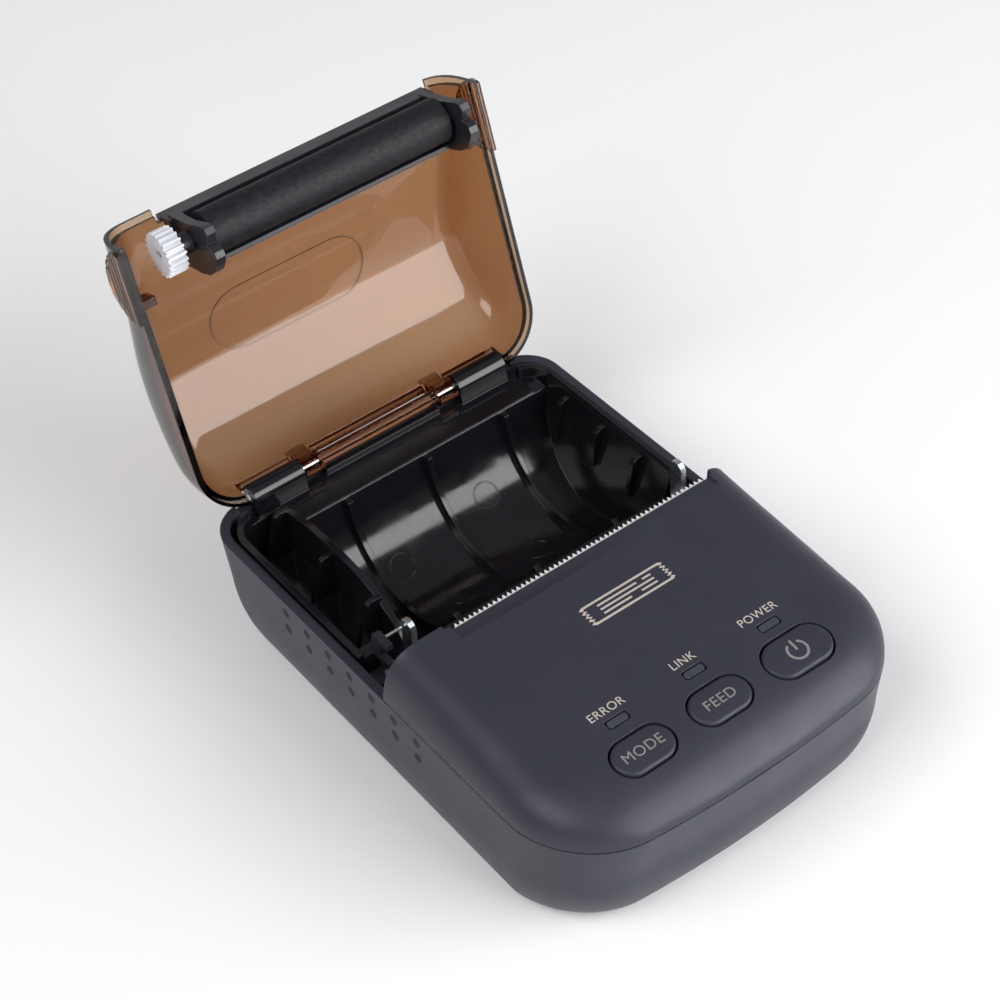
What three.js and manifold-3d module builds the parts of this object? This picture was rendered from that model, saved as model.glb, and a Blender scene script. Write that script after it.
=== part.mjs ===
// A pocket-sized mobile receipt printer, standing with its see-through paper lid open.
// Millimetres, +Z up. The origin is on the standing surface under the middle of the case,
// X runs to the user's right and Y towards the lid hinge at the rear.
import * as THREE from 'three';
import { mergeVertices } from 'three/addons/utils/BufferGeometryUtils.js';
import Module from 'manifold-3d';

const wasm = await Module();
wasm.setup();

// ---------------------------------------------------------------- driving dimensions
const HALF_WIDTH = 42;
const FRONT_Y = -61;
const REAR_Y = 61;
const FRONT_BOW = 0.00204;            // the front edge curves back by this much times x squared
const FRONT_CORNER = 17;
const REAR_CORNER = 9;
const PARTING_Z = 26;                 // top of the lower case
const WALL = 2;
const FLOOR = 2;
const BELLY_Z = 15;                   // the sides round inwards below this height
const GAP = 0.3;
const LOWER_EDGE_Z = PARTING_Z + GAP; // lower edge of the cover and of the closed lid

const MECH_X = 4.06;                  // the print mechanism stands off-centre, clear of the gears
const HINGE_Y = 58.8;
const HINGE_Z = 28.2;
const PIN_R = 0.8;
const LID_OPEN_DEG = 105.8;

const CUT_Y = -2.3;                   // rear edge of the cover at the parting height
const CUT_LEAN = 0.13;                // the edge leans forward as it rises
const LID_CUT_Y = -1.9;
const LID_REAR_Y = 59.5;
const LID_CORNER = 11;
const SKIN = 2.2;
const LID_SKIN = 1.8;

const PLATEN_Y = 2.4;
const PLATEN_Z = 27.4;
const PLATEN_R = 4.7;
const PLATEN_HALF = 28;
const SHAFT_R = 1.4;

const TOOTH_MODULE = 0.43;
const PLATEN_TEETH = 20;
const DRIVE_TEETH = 24;
const SMALL_TEETH = 12;
const WHEEL_TEETH = 36;
const MOTOR_TEETH = 12;
const MESH_PLAY = 0.1;
const FACE_INNER_X = [-34.2, -30.3];  // gears in line with the platen gear
const FACE_OUTER_X = [-38.2, -35.2];  // gears in line with the motor pinion

const TAB_LEFT_X = [-29.9, -28.7];
const TAB_RIGHT_X = [36.8, 38.0];

const CRADLE_Y = 29.5;
const CRADLE_Z = 26;
const CRADLE_R = 20;
const TUB_LEFT = -26;
const TUB_RIGHT = 34;

const KEY_TILT = 0.136;               // radians the key faces lean to the front
const LAMP_X = [-16.8, 1.1, 19.2];
const LAMP_Y = -40.8;
const KEYS = {
  mode: { x: -17.2, y: -48.4, w: 13.8, h: 8.4 },
  feed: { x: 0.7, y: -48.4, w: 13.8, h: 8.4 },
  power: { x: 19.4, y: -48.4, w: 15.7, h: 9.3 },
};
const BOARD_Z = 21;
const BOARD_T = 1.2;

const BODY = { color: 0x34353c, roughness: 0.55, metalness: 0 };
const TUB = { color: 0x101013, roughness: 0.25, metalness: 0 };
const SMOKE = { color: 0x8a6a4c, roughness: 0.08, metalness: 0, opacity: 0.6, transparent: true };
const BLACK = { color: 0x1b1b20, roughness: 0.4, metalness: 0 };
const RUBBER = { color: 0x242428, roughness: 0.85, metalness: 0 };
const GEAR = { color: 0xeeeef2, roughness: 0.4, metalness: 0 };
const STEEL = { color: 0xc8c8c6, roughness: 0.3, metalness: 1 };
const ZINC = { color: 0xb4bcc4, roughness: 0.35, metalness: 1 };
const LENS = { color: 0x6d7078, roughness: 0.3, metalness: 0 };
const BOARD = { color: 0x1e5a38, roughness: 0.5, metalness: 0 };
const BRASSY = { color: 0xc8a04a, roughness: 0.35, metalness: 1 };
const CERAMIC = { color: 0xe6e2d8, roughness: 0.3, metalness: 0 };
const CELL = { color: 0x2a4a7a, roughness: 0.5, metalness: 0 };
const RIBBON = { color: 0xd9b48a, roughness: 0.4, metalness: 0 };

// ---------------------------------------------------------------- solids and helpers
function solid(geometry) {
  const bare = geometry.clone();
  bare.deleteAttribute('normal');
  bare.deleteAttribute('uv');
  const merged = mergeVertices(bare, 1e-4);
  return new wasm.Manifold(new wasm.Mesh({
    numProp: 3,
    vertProperties: new Float32Array(merged.attributes.position.array),
    triVerts: new Uint32Array(merged.index.array),
  }));
}

function geometryOf(body) {
  const mesh = body.getMesh();
  const geometry = new THREE.BufferGeometry();
  geometry.setAttribute('position', new THREE.BufferAttribute(mesh.vertProperties, 3));
  geometry.setIndex(new THREE.BufferAttribute(mesh.triVerts, 1));
  geometry.computeVertexNormals();
  return geometry;
}

function joined(first, ...others) {
  return others.reduce((body, next) => body.add(next), first);
}

function cutBy(body, ...tools) {
  return tools.reduce((rest, tool) => rest.subtract(tool), body);
}

function block(x0, x1, y0, y1, z0, z1) {
  const geometry = new THREE.BoxGeometry(x1 - x0, y1 - y0, z1 - z0);
  geometry.translate((x0 + x1) / 2, (y0 + y1) / 2, (z0 + z1) / 2);
  return solid(geometry);
}

function shapeFrom(points) {
  return new THREE.Shape(points.map(([u, v]) => new THREE.Vector2(u, v)));
}

// a prism whose outline is drawn in the YZ plane and which runs along X
function prismX(outline, x0, x1) {
  const geometry = new THREE.ExtrudeGeometry(shapeFrom(outline), { depth: x1 - x0, bevelEnabled: false });
  geometry.applyMatrix4(new THREE.Matrix4().set(0, 0, 1, x0, 1, 0, 0, 0, 0, 1, 0, 0, 0, 0, 0, 1));
  return solid(geometry);
}

// a prism whose outline is drawn in the XY plane and which runs up Z
function prismZ(outline, z0, z1) {
  const geometry = new THREE.ExtrudeGeometry(shapeFrom(outline), { depth: z1 - z0, bevelEnabled: false });
  geometry.translate(0, 0, z0);
  return solid(geometry);
}

// a prism whose outline is drawn in the XZ plane and which runs along Y
function prismY(outline, y0, y1) {
  const geometry = new THREE.ExtrudeGeometry(shapeFrom(outline), { depth: y1 - y0, bevelEnabled: false });
  geometry.rotateX(Math.PI / 2);
  geometry.translate(0, y1, 0);
  return solid(geometry);
}

function rodX(radius, x0, x1, y, z, sides = 20) {
  const geometry = new THREE.CylinderGeometry(radius, radius, x1 - x0, sides);
  geometry.rotateZ(Math.PI / 2);
  geometry.translate((x0 + x1) / 2, y, z);
  return solid(geometry);
}

function rodZ(radius, z0, z1, x, y, sides = 16) {
  const geometry = new THREE.CylinderGeometry(radius, radius, z1 - z0, sides);
  geometry.rotateX(Math.PI / 2);
  geometry.translate(x, y, (z0 + z1) / 2);
  return solid(geometry);
}

function arcPoints(cx, cy, radius, from, to, steps) {
  const points = [];
  for (let i = 0; i <= steps; i += 1) {
    const a = THREE.MathUtils.degToRad(from + ((to - from) * i) / steps);
    points.push([cx + radius * Math.cos(a), cy + radius * Math.sin(a)]);
  }
  return points;
}

// a slot outline with round ends, lying along X
function stadium(w, h, steps = 8) {
  const r = h / 2;
  const half = w / 2 - r;
  return [...arcPoints(half, 0, r, -90, 90, steps), ...arcPoints(-half, 0, r, 90, 270, steps)];
}

function roundedRect(w, h, r, steps = 4) {
  const x = w / 2 - r;
  const y = h / 2 - r;
  return [
    ...arcPoints(x, y, r, 0, 90, steps),
    ...arcPoints(-x, y, r, 90, 180, steps),
    ...arcPoints(-x, -y, r, 180, 270, steps),
    ...arcPoints(x, -y, r, 270, 360, steps),
  ];
}

function interpolate(table, at) {
  if (at <= table[0][0]) return table[0][1];
  for (let i = 1; i < table.length; i += 1) {
    const [x0, y0] = table[i - 1];
    const [x1, y1] = table[i];
    if (at <= x1) return y0 + ((y1 - y0) * (at - x0)) / (x1 - x0);
  }
  return table[table.length - 1][1];
}

function frontBow(x, y) {
  return FRONT_BOW * x * x * THREE.MathUtils.clamp((-30 - y) / 15, 0, 1);
}

function closedBody(vertices, faces) {
  const geometry = new THREE.BufferGeometry();
  geometry.setAttribute('position', new THREE.Float32BufferAttribute(vertices.flat(), 3));
  let volume = 0;
  for (const [a, b, c] of faces) {
    const p = new THREE.Vector3(...vertices[a]);
    const q = new THREE.Vector3(...vertices[b]);
    const r = new THREE.Vector3(...vertices[c]);
    volume += p.dot(q.cross(r));
  }
  const ordered = volume < 0 ? faces.map(([a, b, c]) => [a, c, b]) : faces;
  geometry.setIndex(ordered.flat());
  return solid(geometry);
}

// ---------------------------------------------------------------- plan outlines and lofts
// How far the case draws in from its full plan outline at height z, and its corner radii there.
function caseInset(z) {
  if (z >= BELLY_Z) {
    const t = (PARTING_Z - Math.min(z, PARTING_Z)) / (PARTING_Z - BELLY_Z);
    return {
      side: 0,
      front: 2.2 * t,
      rear: 1.6 * t,
      frontR: FRONT_CORNER - 1.4 * t,
      rearR: REAR_CORNER + 0.5 * t,
    };
  }
  const turn = 1 - Math.cos(Math.asin(Math.min(1, (BELLY_Z - z) / BELLY_Z)));
  return {
    side: 4.2 * turn,
    front: 2.2 + 7.5 * turn,
    rear: 1.6 + 8.8 * turn,
    frontR: FRONT_CORNER - 1.4 + 2.4 * turn,
    rearR: REAR_CORNER + 0.5,
  };
}

function caseRing(z, thickness) {
  const inset = caseInset(z);
  const side = HALF_WIDTH - inset.side - thickness;
  const front = FRONT_Y + inset.front + thickness;
  const rear = REAR_Y - inset.rear - thickness;
  const rf = inset.frontR - thickness;
  const rr = inset.rearR - thickness;
  const flat = [];
  flat.push(...arcPoints(side - rr, rear - rr, rr, 0, 90, 4));
  flat.push(...arcPoints(-side + rr, rear - rr, rr, 90, 180, 4));
  flat.push(...arcPoints(-side + rf, front + rf, rf, 180, 270, 7));
  for (const t of [-0.5, 0, 0.5]) flat.push([t * 2 * (side - rf) * 0.6, front]);
  flat.push(...arcPoints(side - rf, front + rf, rf, 270, 360, 7));
  return flat.map(([x, y]) => [x, y + frontBow(x, y), z]);
}

function loft(rings) {
  const vertices = rings.flat();
  const n = rings[0].length;
  const faces = [];
  for (let k = 0; k < rings.length - 1; k += 1) {
    for (let i = 0; i < n; i += 1) {
      const j = (i + 1) % n;
      const a = k * n + i;
      const b = k * n + j;
      faces.push([a, b, b + n], [a, b + n, a + n]);
    }
  }
  const top = (rings.length - 1) * n;
  for (let i = 1; i < n - 1; i += 1) faces.push([0, i + 1, i], [top, top + i, top + i + 1]);
  return closedBody(vertices, faces);
}

// Each level is [z, shapeZ]: the outline that the case has at shapeZ, set at height z.
function caseForm(thickness, levels) {
  return loft(levels.map(([z, at]) => caseRing(at, thickness).map(([x, y]) => [x, y, z])));
}

const COVER_TOP = [[-61, 30.5], [-55, 33], [-48, 34.6], [-40, 35.7], [-30, 36.9], [-20, 37.7],
  [-10, 38.3], [-3.7, 38.6], [0, 38.7]];
const LID_TOP = [[-4, 39.1], [6, 39.5], [14, 40.7], [20, 43], [26, 45.4], [33, 46.5], [40, 45.8],
  [46, 43.8], [52, 40.2], [58, 35.4]];

// A domed form standing on a flat base. It starts at a straight cut edge and runs to a far end with
// rounded corners, and its flanks draw in as it rises to the top height given by top(x, y).
function pillow({ dir, cut, lean, far, half, corner, base, top, sideDraw, endDraw, power, straight }) {
  const turns = [0, 14, 30, 46, 62, 76, 90];
  const across = 5;
  const levels = turns.map((deg) => {
    const a = THREE.MathUtils.degToRad(deg);
    return {
      draw: 1 - Math.max(Math.cos(a), 0) ** (2 / power),
      rise: Math.sin(a) ** (2 / power),
    };
  });
  const places = [];
  for (let i = 0; i < straight; i += 1) places.push({ kind: 'side', t: i / straight });
  for (let i = 0; i <= 5; i += 1) places.push({ kind: 'corner', t: (i * 18 * Math.PI) / 180 });
  places.push({ kind: 'end', t: 0.5 });
  const pointAt = (place, level) => {
    const guess = place.kind === 'side' ? cut + (far - cut) * place.t : far;
    const side = sideDraw(guess) * level.draw;
    const end = endDraw * level.draw;
    const r = Math.max(corner - (side + end) / 2, 2.2);
    const cx = half - side - r;
    const cy = far - dir * (end + r);
    if (place.kind === 'side') return [half - side, cut + (cy - cut) * place.t];
    if (place.kind === 'corner') return [cx + r * Math.cos(place.t), cy + dir * r * Math.sin(place.t)];
    return [cx * (1 - place.t), cy + dir * r];
  };
  const stations = places.map((place, index) => {
    const leftSide = levels.map((level) => {
      const [x, flatY] = pointAt(place, level);
      const bowed = flatY + frontBow(x, flatY);
      const z = base + (top(x, bowed) - base) * level.rise;
      const y = index === 0 ? bowed - lean * (z - PARTING_Z) : bowed;
      return [-x, y, z];
    });
    const last = leftSide[leftSide.length - 1];
    const middle = [];
    for (let j = 1; j <= across; j += 1) {
      const x = last[0] * (1 - (2 * j) / (across + 1));
      middle.push([x, last[1], top(x, last[1])]);
    }
    const rightSide = leftSide.map(([x, y, z]) => [-x, y, z]).reverse();
    return [...leftSide, ...middle, ...rightSide];
  });
  const v = stations[0].length;
  const n = stations.length;
  const k = levels.length;
  const id = (i, j) => i * v + j;
  const faces = [];
  for (let i = 0; i < n - 1; i += 1) {
    for (let j = 0; j < v - 1; j += 1) {
      faces.push([id(i, j), id(i + 1, j), id(i + 1, j + 1)], [id(i, j), id(i + 1, j + 1), id(i, j + 1)]);
    }
    faces.push([id(i, 0), id(i, v - 1), id(i + 1, v - 1)], [id(i, 0), id(i + 1, v - 1), id(i + 1, 0)]);
  }
  for (let j = 1; j < v - 1; j += 1) faces.push([id(0, 0), id(0, j), id(0, j + 1)]);
  const l = (j) => id(n - 1, j);
  const r = (j) => id(n - 1, v - 1 - j);
  for (let j = 0; j < k - 2; j += 1) faces.push([l(j + 1), l(j), r(j)], [l(j + 1), r(j), r(j + 1)]);
  faces.push([l(k - 2), r(k - 2), r(k - 1)]);
  for (let j = v - 1 - k; j >= k - 1; j -= 1) faces.push([l(k - 2), id(n - 1, j + 1), id(n - 1, j)]);
  return closedBody(stations.flat(), faces);
}

const crown = (x) => 0.4 * (x / 30) * (x / 30);

function coverForm(skin) {
  return pillow({
    dir: -1,
    cut: skin > 0 ? CUT_Y + 1.5 : CUT_Y,
    lean: CUT_LEAN,
    far: FRONT_Y + skin,
    half: HALF_WIDTH - skin,
    corner: FRONT_CORNER - skin,
    base: skin > 0 ? LOWER_EDGE_Z - 1 : LOWER_EDGE_Z,
    top: (x, y) => interpolate(COVER_TOP, y) - crown(x) - skin,
    sideDraw: (y) => interpolate([[-48, 13], [-25, 10.5], [-2, 7.8]], y),
    endDraw: 11.5,
    power: 2.5,
    straight: 6,
  });
}

function lidForm(skin) {
  return pillow({
    dir: 1,
    cut: skin > 0 ? LID_CUT_Y - 2 : LID_CUT_Y,
    lean: 0.03,
    far: LID_REAR_Y - skin,
    half: HALF_WIDTH - skin,
    corner: LID_CORNER - skin,
    base: skin > 0 ? LOWER_EDGE_Z - 1 : LOWER_EDGE_Z,
    top: (x, y) => interpolate(LID_TOP, y) - crown(x) - skin,
    sideDraw: () => 7.2,
    endDraw: 8,
    power: 2.9,
    straight: 9,
  });
}

// Carries a piece of the closed lid round the hinge to the open position.
function openLid(geometry) {
  geometry.translate(0, -HINGE_Y, -HINGE_Z);
  geometry.rotateX(-THREE.MathUtils.degToRad(LID_OPEN_DEG));
  geometry.translate(0, HINGE_Y, HINGE_Z);
  return geometry;
}

// ---------------------------------------------------------------- lower case
const BAY = { x: 31.2, y0: -50.2, y1: -20.8, roof: 20.2 };
const FEET = [[-29, -12], [29, -12], [-26, 40], [26, 40]];
const BOSSES = [[-35.4, -36], [35.4, -36], [-33.5, 46], [33.5, 46]];
const BOSS_R = 2.8;
const SCREW_HOLE_R = 1.25;
const TUB_BOSS_Z = 9.2;               // lower end of the screw bosses under the tub

function bottomCase() {
  const outside = caseForm(0, [[0, 0], [1.4, 1.4], [4.4, 4.4], [8.6, 8.6], [15, 15], [26, 26]]);
  const inside = caseForm(WALL, [[FLOOR, 2], [5, 5], [9, 9], [15, 15], [27, 26]]);
  let body = cutBy(outside, inside);
  body = joined(body, block(-BAY.x, BAY.x, BAY.y0, BAY.y1, FLOOR - 0.5, BAY.roof));
  BOSSES.forEach(([x, y], i) => {
    const height = i < 2 ? PARTING_Z - GAP : TUB_BOSS_Z - GAP;
    body = joined(body, rodZ(BOSS_R, 1, height, x, y, 14));
  });
  const holes = BOSSES.flatMap(([x, y]) => [
    rodZ(SCREW_HOLE_R, -1, 30, x, y, 12),
    rodZ(2.5, -1, 1.9, x, y, 14),
  ]);
  const doorway = block(-30.6, 30.6, -49.8, -21.2, -1, 1.9);
  const hollow = block(-BAY.x + 1.4, BAY.x - 1.4, BAY.y0 + 1.4, BAY.y1 - 1.4, -1, BAY.roof - 1.4);
  const relief = (s) => block(s < 0 ? -34.6 : 14.4, s < 0 ? -14.4 : 34.6, 56, 64, 25.1, 28);
  const dataPort = block(38, 44, -32.2, -23.7, 16.3, 21.2);
  const chargePort = rodX(3.6, 38, 44, -17.6, 16.2, 18);
  body = cutBy(body, ...holes, doorway, hollow, relief(-1), relief(1), dataPort, chargePort);
  for (const [x, y] of FEET) body = cutBy(body, rodZ(3.6, -1, 0.8, x, y, 20));
  for (const s of [-1, 1]) {
    for (let k = 0; k < 7; k += 1) {
      for (const z of [23, 18.7]) {
        body = cutBy(body, rodX(0.85, s * HALF_WIDTH - 0.6, s * HALF_WIDTH + 0.6, 31.2 - 7.25 * k, z, 8));
      }
    }
  }
  return body;
}

function foot([x, y]) {
  return rodZ(3.3, 0, 0.5, x, y, 20);
}

function screw([x, y], index) {
  const reach = index < 2 ? 31 : 12;
  return joined(rodZ(2.1, 0.3, 1.6, x, y, 12), rodZ(0.95, 1.2, reach, x, y, 10));
}

// ---------------------------------------------------------------- inner tub
function cradleBand(inner, outer, from, to, x0, x1, steps) {
  const outline = [
    ...arcPoints(CRADLE_Y, CRADLE_Z, outer, from, to, steps),
    ...arcPoints(CRADLE_Y, CRADLE_Z, inner, to, from, steps),
  ];
  return prismX(outline, x0, x1);
}

function tubSkirt(t, z0, z1) {
  const half = HALF_WIDTH - WALL - GAP - t;
  const rear = 56.6 - t;
  const r = REAR_CORNER + 0.5 - WALL - GAP - t;
  const outline = [
    [half, 9],
    ...arcPoints(half - r, rear - r, r, 0, 90, 4),
    ...arcPoints(-half + r, rear - r, r, 90, 180, 4),
    [-half, 9],
  ];
  return prismZ(outline, z0, z1);
}

const HOPPER_END = [[31.6, 4], [33, 4], [39.3, 24.6], [39.3, 26.4], [38, 26.4]];

// The sloping right-hand end of the roll hopper.
function hopperEnd() {
  const slab = prismY(HOPPER_END, 9.6, 50.4);
  const reach = joined(
    rodX(CRADLE_R + 1.4, 20, 45, CRADLE_Y, CRADLE_Z, 28),
    block(20, 45, 9.6, 50.4, 17, 30),
  );
  return slab.intersect(reach);
}

function hopperCheek() {
  const crest = [[11.5, 14.2], [11.5, 18.6], [15, 22], [21, 25.4], [28, 27.2], [36, 27.8],
    [44, 27.4], [51, 26.2], [55, 24.8], [56.8, 23.6], [56.8, 14.2]];
  return prismX(crest, TUB_LEFT - 1.4, TUB_LEFT);
}

function hingeBarrel(s) {
  const x0 = s < 0 ? -31.7 : 19.6;
  const x1 = s < 0 ? -19.6 : 31.7;
  const arm = prismX([[55.9, 20], [57.4, 21], [57.9, 25.4], [58.6, 27], [56.4, 28], [55.9, 26]], x0, x1);
  return joined(rodX(2.6, x0, x1, HINGE_Y, HINGE_Z, 18), arm);
}

function paperTub() {
  const skirt = cutBy(tubSkirt(0, 15.4, 27), tubSkirt(1.3, 14, 28), block(-36.5, 36.5, 8, 9.6, 14, 28));
  const swing = block(-34.2, 34.2, 55, 60, 24.4, 30);
  const well = block(-39, TUB_LEFT - 0.5, 9.6, 52, 14, 15.6);
  const beyondEnd = prismY([[33, 0], [60, 0], [60, 30], [40.4, 30], [39.3, 24.6]], -10, 80);
  const cradle = cutBy(cradleBand(CRADLE_R, CRADLE_R + 1.5, 197, 350, TUB_LEFT - 0.6, 39, 14), beyondEnd);
  const ramp = [[49.1, 22.3], [49.5, 24], [50.2, 24.5], [57.8, 25], [57.8, 23.6], [51.4, 22.8],
    [50.4, 20.6]];
  const lip = block(-14.4, 14.4, 56.8, 58.3, 24.4, 26.3);
  const rampEnd = [[49.1, 22.3], [49.5, 24], [50.2, 24.4], [55, 24.4], [55, 23], [50.4, 20.6]];
  const deck = prismX(ramp, TUB_LEFT - 0.6, TUB_RIGHT);
  const deckEnd = prismX(rampEnd, TUB_RIGHT - 1, 37);
  let body = joined(cutBy(skirt, swing), well, cradle, lip, deck, deckEnd, hopperEnd(), hopperCheek());
  for (const x of [-15, 5, 25]) {
    body = joined(body, cradleBand(CRADLE_R - 1.8, CRADLE_R + 0.5, 200, 354, x - 0.6, x + 0.6, 14));
  }
  for (const y of [20.5, 36.5, 53]) body = joined(body, prismY(LEFT_FIN, y - 0.6, y + 0.6));
  for (const y of [19, 31, 43]) body = joined(body, prismY(RIGHT_FIN, y - 0.6, y + 0.6));
  body = joined(body, hingeBarrel(-1), hingeBarrel(1));
  const drum = rodX(CRADLE_R + 0.4, -60, 60, CRADLE_Y, CRADLE_Z, 28);
  for (const [x, y] of BOSSES.slice(2)) {
    const boss = cutBy(rodZ(BOSS_R, TUB_BOSS_Z, 15.2, x, y, 14), drum);
    body = cutBy(joined(body, boss), rodZ(SCREW_HOLE_R, 8, 12.4, x, y, 12));
  }
  const pinHole = (x0, x1) => rodX(PIN_R + 0.1, x0, x1, HINGE_Y, HINGE_Z, 14);
  body = cutBy(body, pinHole(-32.7, -18.6), pinHole(18.6, 32.7));
  const cornerShelf = block(-39.3, -35, 9.2, 12, 21, 25.6);
  return joined(body, cornerShelf);
}

const LEFT_FIN = [[-26.6, 15], [-26.6, 26.2], [-27.8, 26.4], [-29.2, 25.8], [-30.2, 24], [-33.4, 15]];
const RIGHT_FIN = [[36, 16], [38.9, 24.4], [38.9, 25.4], [36.6, 25.2], [35.4, 24], [34.6, 21], [33.9, 16]];

function hingePin(side) {
  const x0 = side < 0 ? -31.9 : 15.2;
  return rodX(PIN_R, x0, x0 + 16.7, HINGE_Y, HINGE_Z, 14);
}

// ---------------------------------------------------------------- top cover, blade, lamps and keys
const BLADE_Z = [36.5, 37];
const BLADE_HALF = 30.6;
const TOOTH_PITCH = 1.12;

function tilted(body, x, y, z) {
  const turn = new THREE.Matrix4().makeRotationX(KEY_TILT);
  const geometry = geometryOf(body);
  geometry.applyMatrix4(turn);
  geometry.translate(x, y, z);
  return solid(geometry);
}

function coverTopAt(x, y) {
  return interpolate(COVER_TOP, y) - crown(x);
}

function topCover() {
  let body = cutBy(coverForm(0), coverForm(SKIN));
  const x0 = MECH_X - BLADE_HALF - 2;
  const x1 = MECH_X + BLADE_HALF + 1.6;
  const seat = block(x0, x1, -11.4, -3, 34.4, 38).intersect(coverForm(0));
  body = joined(body, seat);
  const hollow = [[-5.3, 37], [-5.3, 37.5], [-7.4, 37.5], [-8.6, 37.9], [-9.3, 38.5], [-9.6, 39.2],
    [-9.6, 45], [2, 45], [2, 37]];
  const groove = prismX(hollow, x0 + 1.2, x1 - 0.8);
  const mouth = block(x0, x1, -4.9, 2, 30, 45);
  const slot = block(MECH_X - BLADE_HALF - GAP, MECH_X + BLADE_HALF + GAP, -10.9, 0, 36.2, 37.3);
  body = cutBy(body, groove, mouth, slot);
  for (const key of Object.values(KEYS)) {
    const well = prismZ(stadium(key.w, key.h), -8, 8);
    body = cutBy(body, tilted(well, key.x, key.y, coverTopAt(key.x, key.y)));
  }
  for (const x of LAMP_X) {
    const window = prismZ(roundedRect(5, 2.1, 0.6, 2), -8, 8);
    body = cutBy(body, tilted(window, x, LAMP_Y, coverTopAt(x, LAMP_Y)));
  }
  for (const [x, y] of BOSSES.slice(0, 2)) {
    const post = rodZ(BOSS_R, LOWER_EDGE_Z, 33, x, y, 14).intersect(coverForm(0));
    body = joined(body, cutBy(post, rodZ(SCREW_HOLE_R, 20, 31.5, x, y, 12)));
  }
  const tongue = [[-4, 26.6], [0.5, 26.6], [0.5, 30.2], [-2.4, 32.5], [-4, 32.5]];
  body = joined(body, prismX(tongue, -39.2, -38.3), prismX(tongue, 38.3, 39.2));
  return body;
}

function tearBar() {
  const outline = [[-BLADE_HALF, -10.5], [BLADE_HALF, -10.5], [BLADE_HALF, -4.9]];
  const teeth = Math.floor((2 * BLADE_HALF) / TOOTH_PITCH);
  const start = (teeth * TOOTH_PITCH) / 2;
  for (let i = 0; i < teeth; i += 1) {
    const x = start - i * TOOTH_PITCH;
    outline.push([x - 0.1, -4.9], [x - TOOTH_PITCH * 0.5, -3.85]);
  }
  outline.push([-start, -4.9], [-BLADE_HALF, -4.9]);
  return prismZ(outline.map(([x, y]) => [x + MECH_X, y]), ...BLADE_Z);
}

function lamp(x) {
  const light = prismZ(roundedRect(4.4, 1.5, 0.45, 2), -9.5, -0.1);
  return tilted(light, x, LAMP_Y, coverTopAt(x, LAMP_Y));
}

function key(spec) {
  const cap = prismZ(stadium(spec.w - 0.8, spec.h - 0.8), -4.2, 0.25);
  const flange = prismZ(stadium(spec.w + 0.7, spec.h + 0.7), -5, -3.9);
  const stem = rodZ(1.3, -8.6, -3.5, 0, 0, 12);
  return tilted(joined(cap, flange, stem), spec.x, spec.y, coverTopAt(spec.x, spec.y));
}

function keySwitch(spec) {
  const y = spec.y + 8.9 * Math.sin(KEY_TILT);
  const z = BOARD_Z + BOARD_T + GAP;
  const housing = block(spec.x - 3, spec.x + 3, y - 3, y + 3, z, z + 2);
  return joined(housing, rodZ(1.5, z + 1.5, z + 2.6, spec.x, y, 12));
}

// ---------------------------------------------------------------- gears
// Outline of a gear in the YZ plane whose tooth centre lies at the angle given, in degrees.
function gearOutline(teeth, toothAngle) {
  const pitch = (TOOTH_MODULE * teeth) / 2;
  const tip = pitch + TOOTH_MODULE * 0.95;
  const root = pitch - TOOTH_MODULE * 1.2;
  const step = 360 / teeth;
  const points = [];
  for (let i = 0; i < teeth; i += 1) {
    const at = toothAngle + i * step;
    for (const [radius, offset] of [[root, -0.3], [tip, -0.12], [tip, 0.12], [root, 0.3]]) {
      const a = THREE.MathUtils.degToRad(at + offset * step);
      points.push([radius * Math.cos(a), radius * Math.sin(a)]);
    }
  }
  return points;
}

function gearSolid(teeth, toothAngle, [x0, x1], [y, z], bore) {
  const wheel = prismX(gearOutline(teeth, toothAngle).map(([u, v]) => [u + y, v + z]), x0, x1);
  return bore > 0 ? cutBy(wheel, rodX(bore, x0 - 1, x1 + 1, y, z, 16)) : wheel;
}

const pitchRadius = (teeth) => (TOOTH_MODULE * teeth) / 2;
const meshDistance = (a, b) => pitchRadius(a) + pitchRadius(b) + MESH_PLAY;

function stepFrom([y, z], distance, degrees) {
  const a = THREE.MathUtils.degToRad(degrees);
  return [y + distance * Math.cos(a), z + distance * Math.sin(a)];
}

const PLATEN_AT = [PLATEN_Y, PLATEN_Z];
const TO_DRIVE = 240;                 // direction from the closed platen to the drive gear
const TO_STEP = 233;                  // direction from the drive gear to the reduction gear
const TO_MOTOR = 346;                 // direction from the reduction gear to the motor
const DRIVE_AT = stepFrom(PLATEN_AT, meshDistance(PLATEN_TEETH, DRIVE_TEETH), TO_DRIVE);
const STEP_AT = stepFrom(DRIVE_AT, meshDistance(DRIVE_TEETH, SMALL_TEETH), TO_STEP);
const MOTOR_AT = stepFrom(STEP_AT, meshDistance(WHEEL_TEETH, MOTOR_TEETH), TO_MOTOR);

// The drive gear has a tooth on its line to the platen, and its other mates fit round that.
const DRIVE_PHASE = TO_DRIVE + 180;
const PLATEN_PHASE = TO_DRIVE + 180 / PLATEN_TEETH;

function matePhase(phase, teeth, direction, mateTeeth) {
  const step = 360 / teeth;
  const lead = (((direction - phase) % step) + step) % step;
  return direction + 180 + (lead * teeth) / mateTeeth + 180 / mateTeeth;
}

const POST_R = 0.8;
const BORE_R = 0.9;

function platenGear() {
  return gearSolid(PLATEN_TEETH, PLATEN_PHASE, FACE_INNER_X, PLATEN_AT, SHAFT_R + GAP);
}

function driveGear() {
  return gearSolid(DRIVE_TEETH, DRIVE_PHASE, FACE_INNER_X, DRIVE_AT, BORE_R);
}

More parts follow.
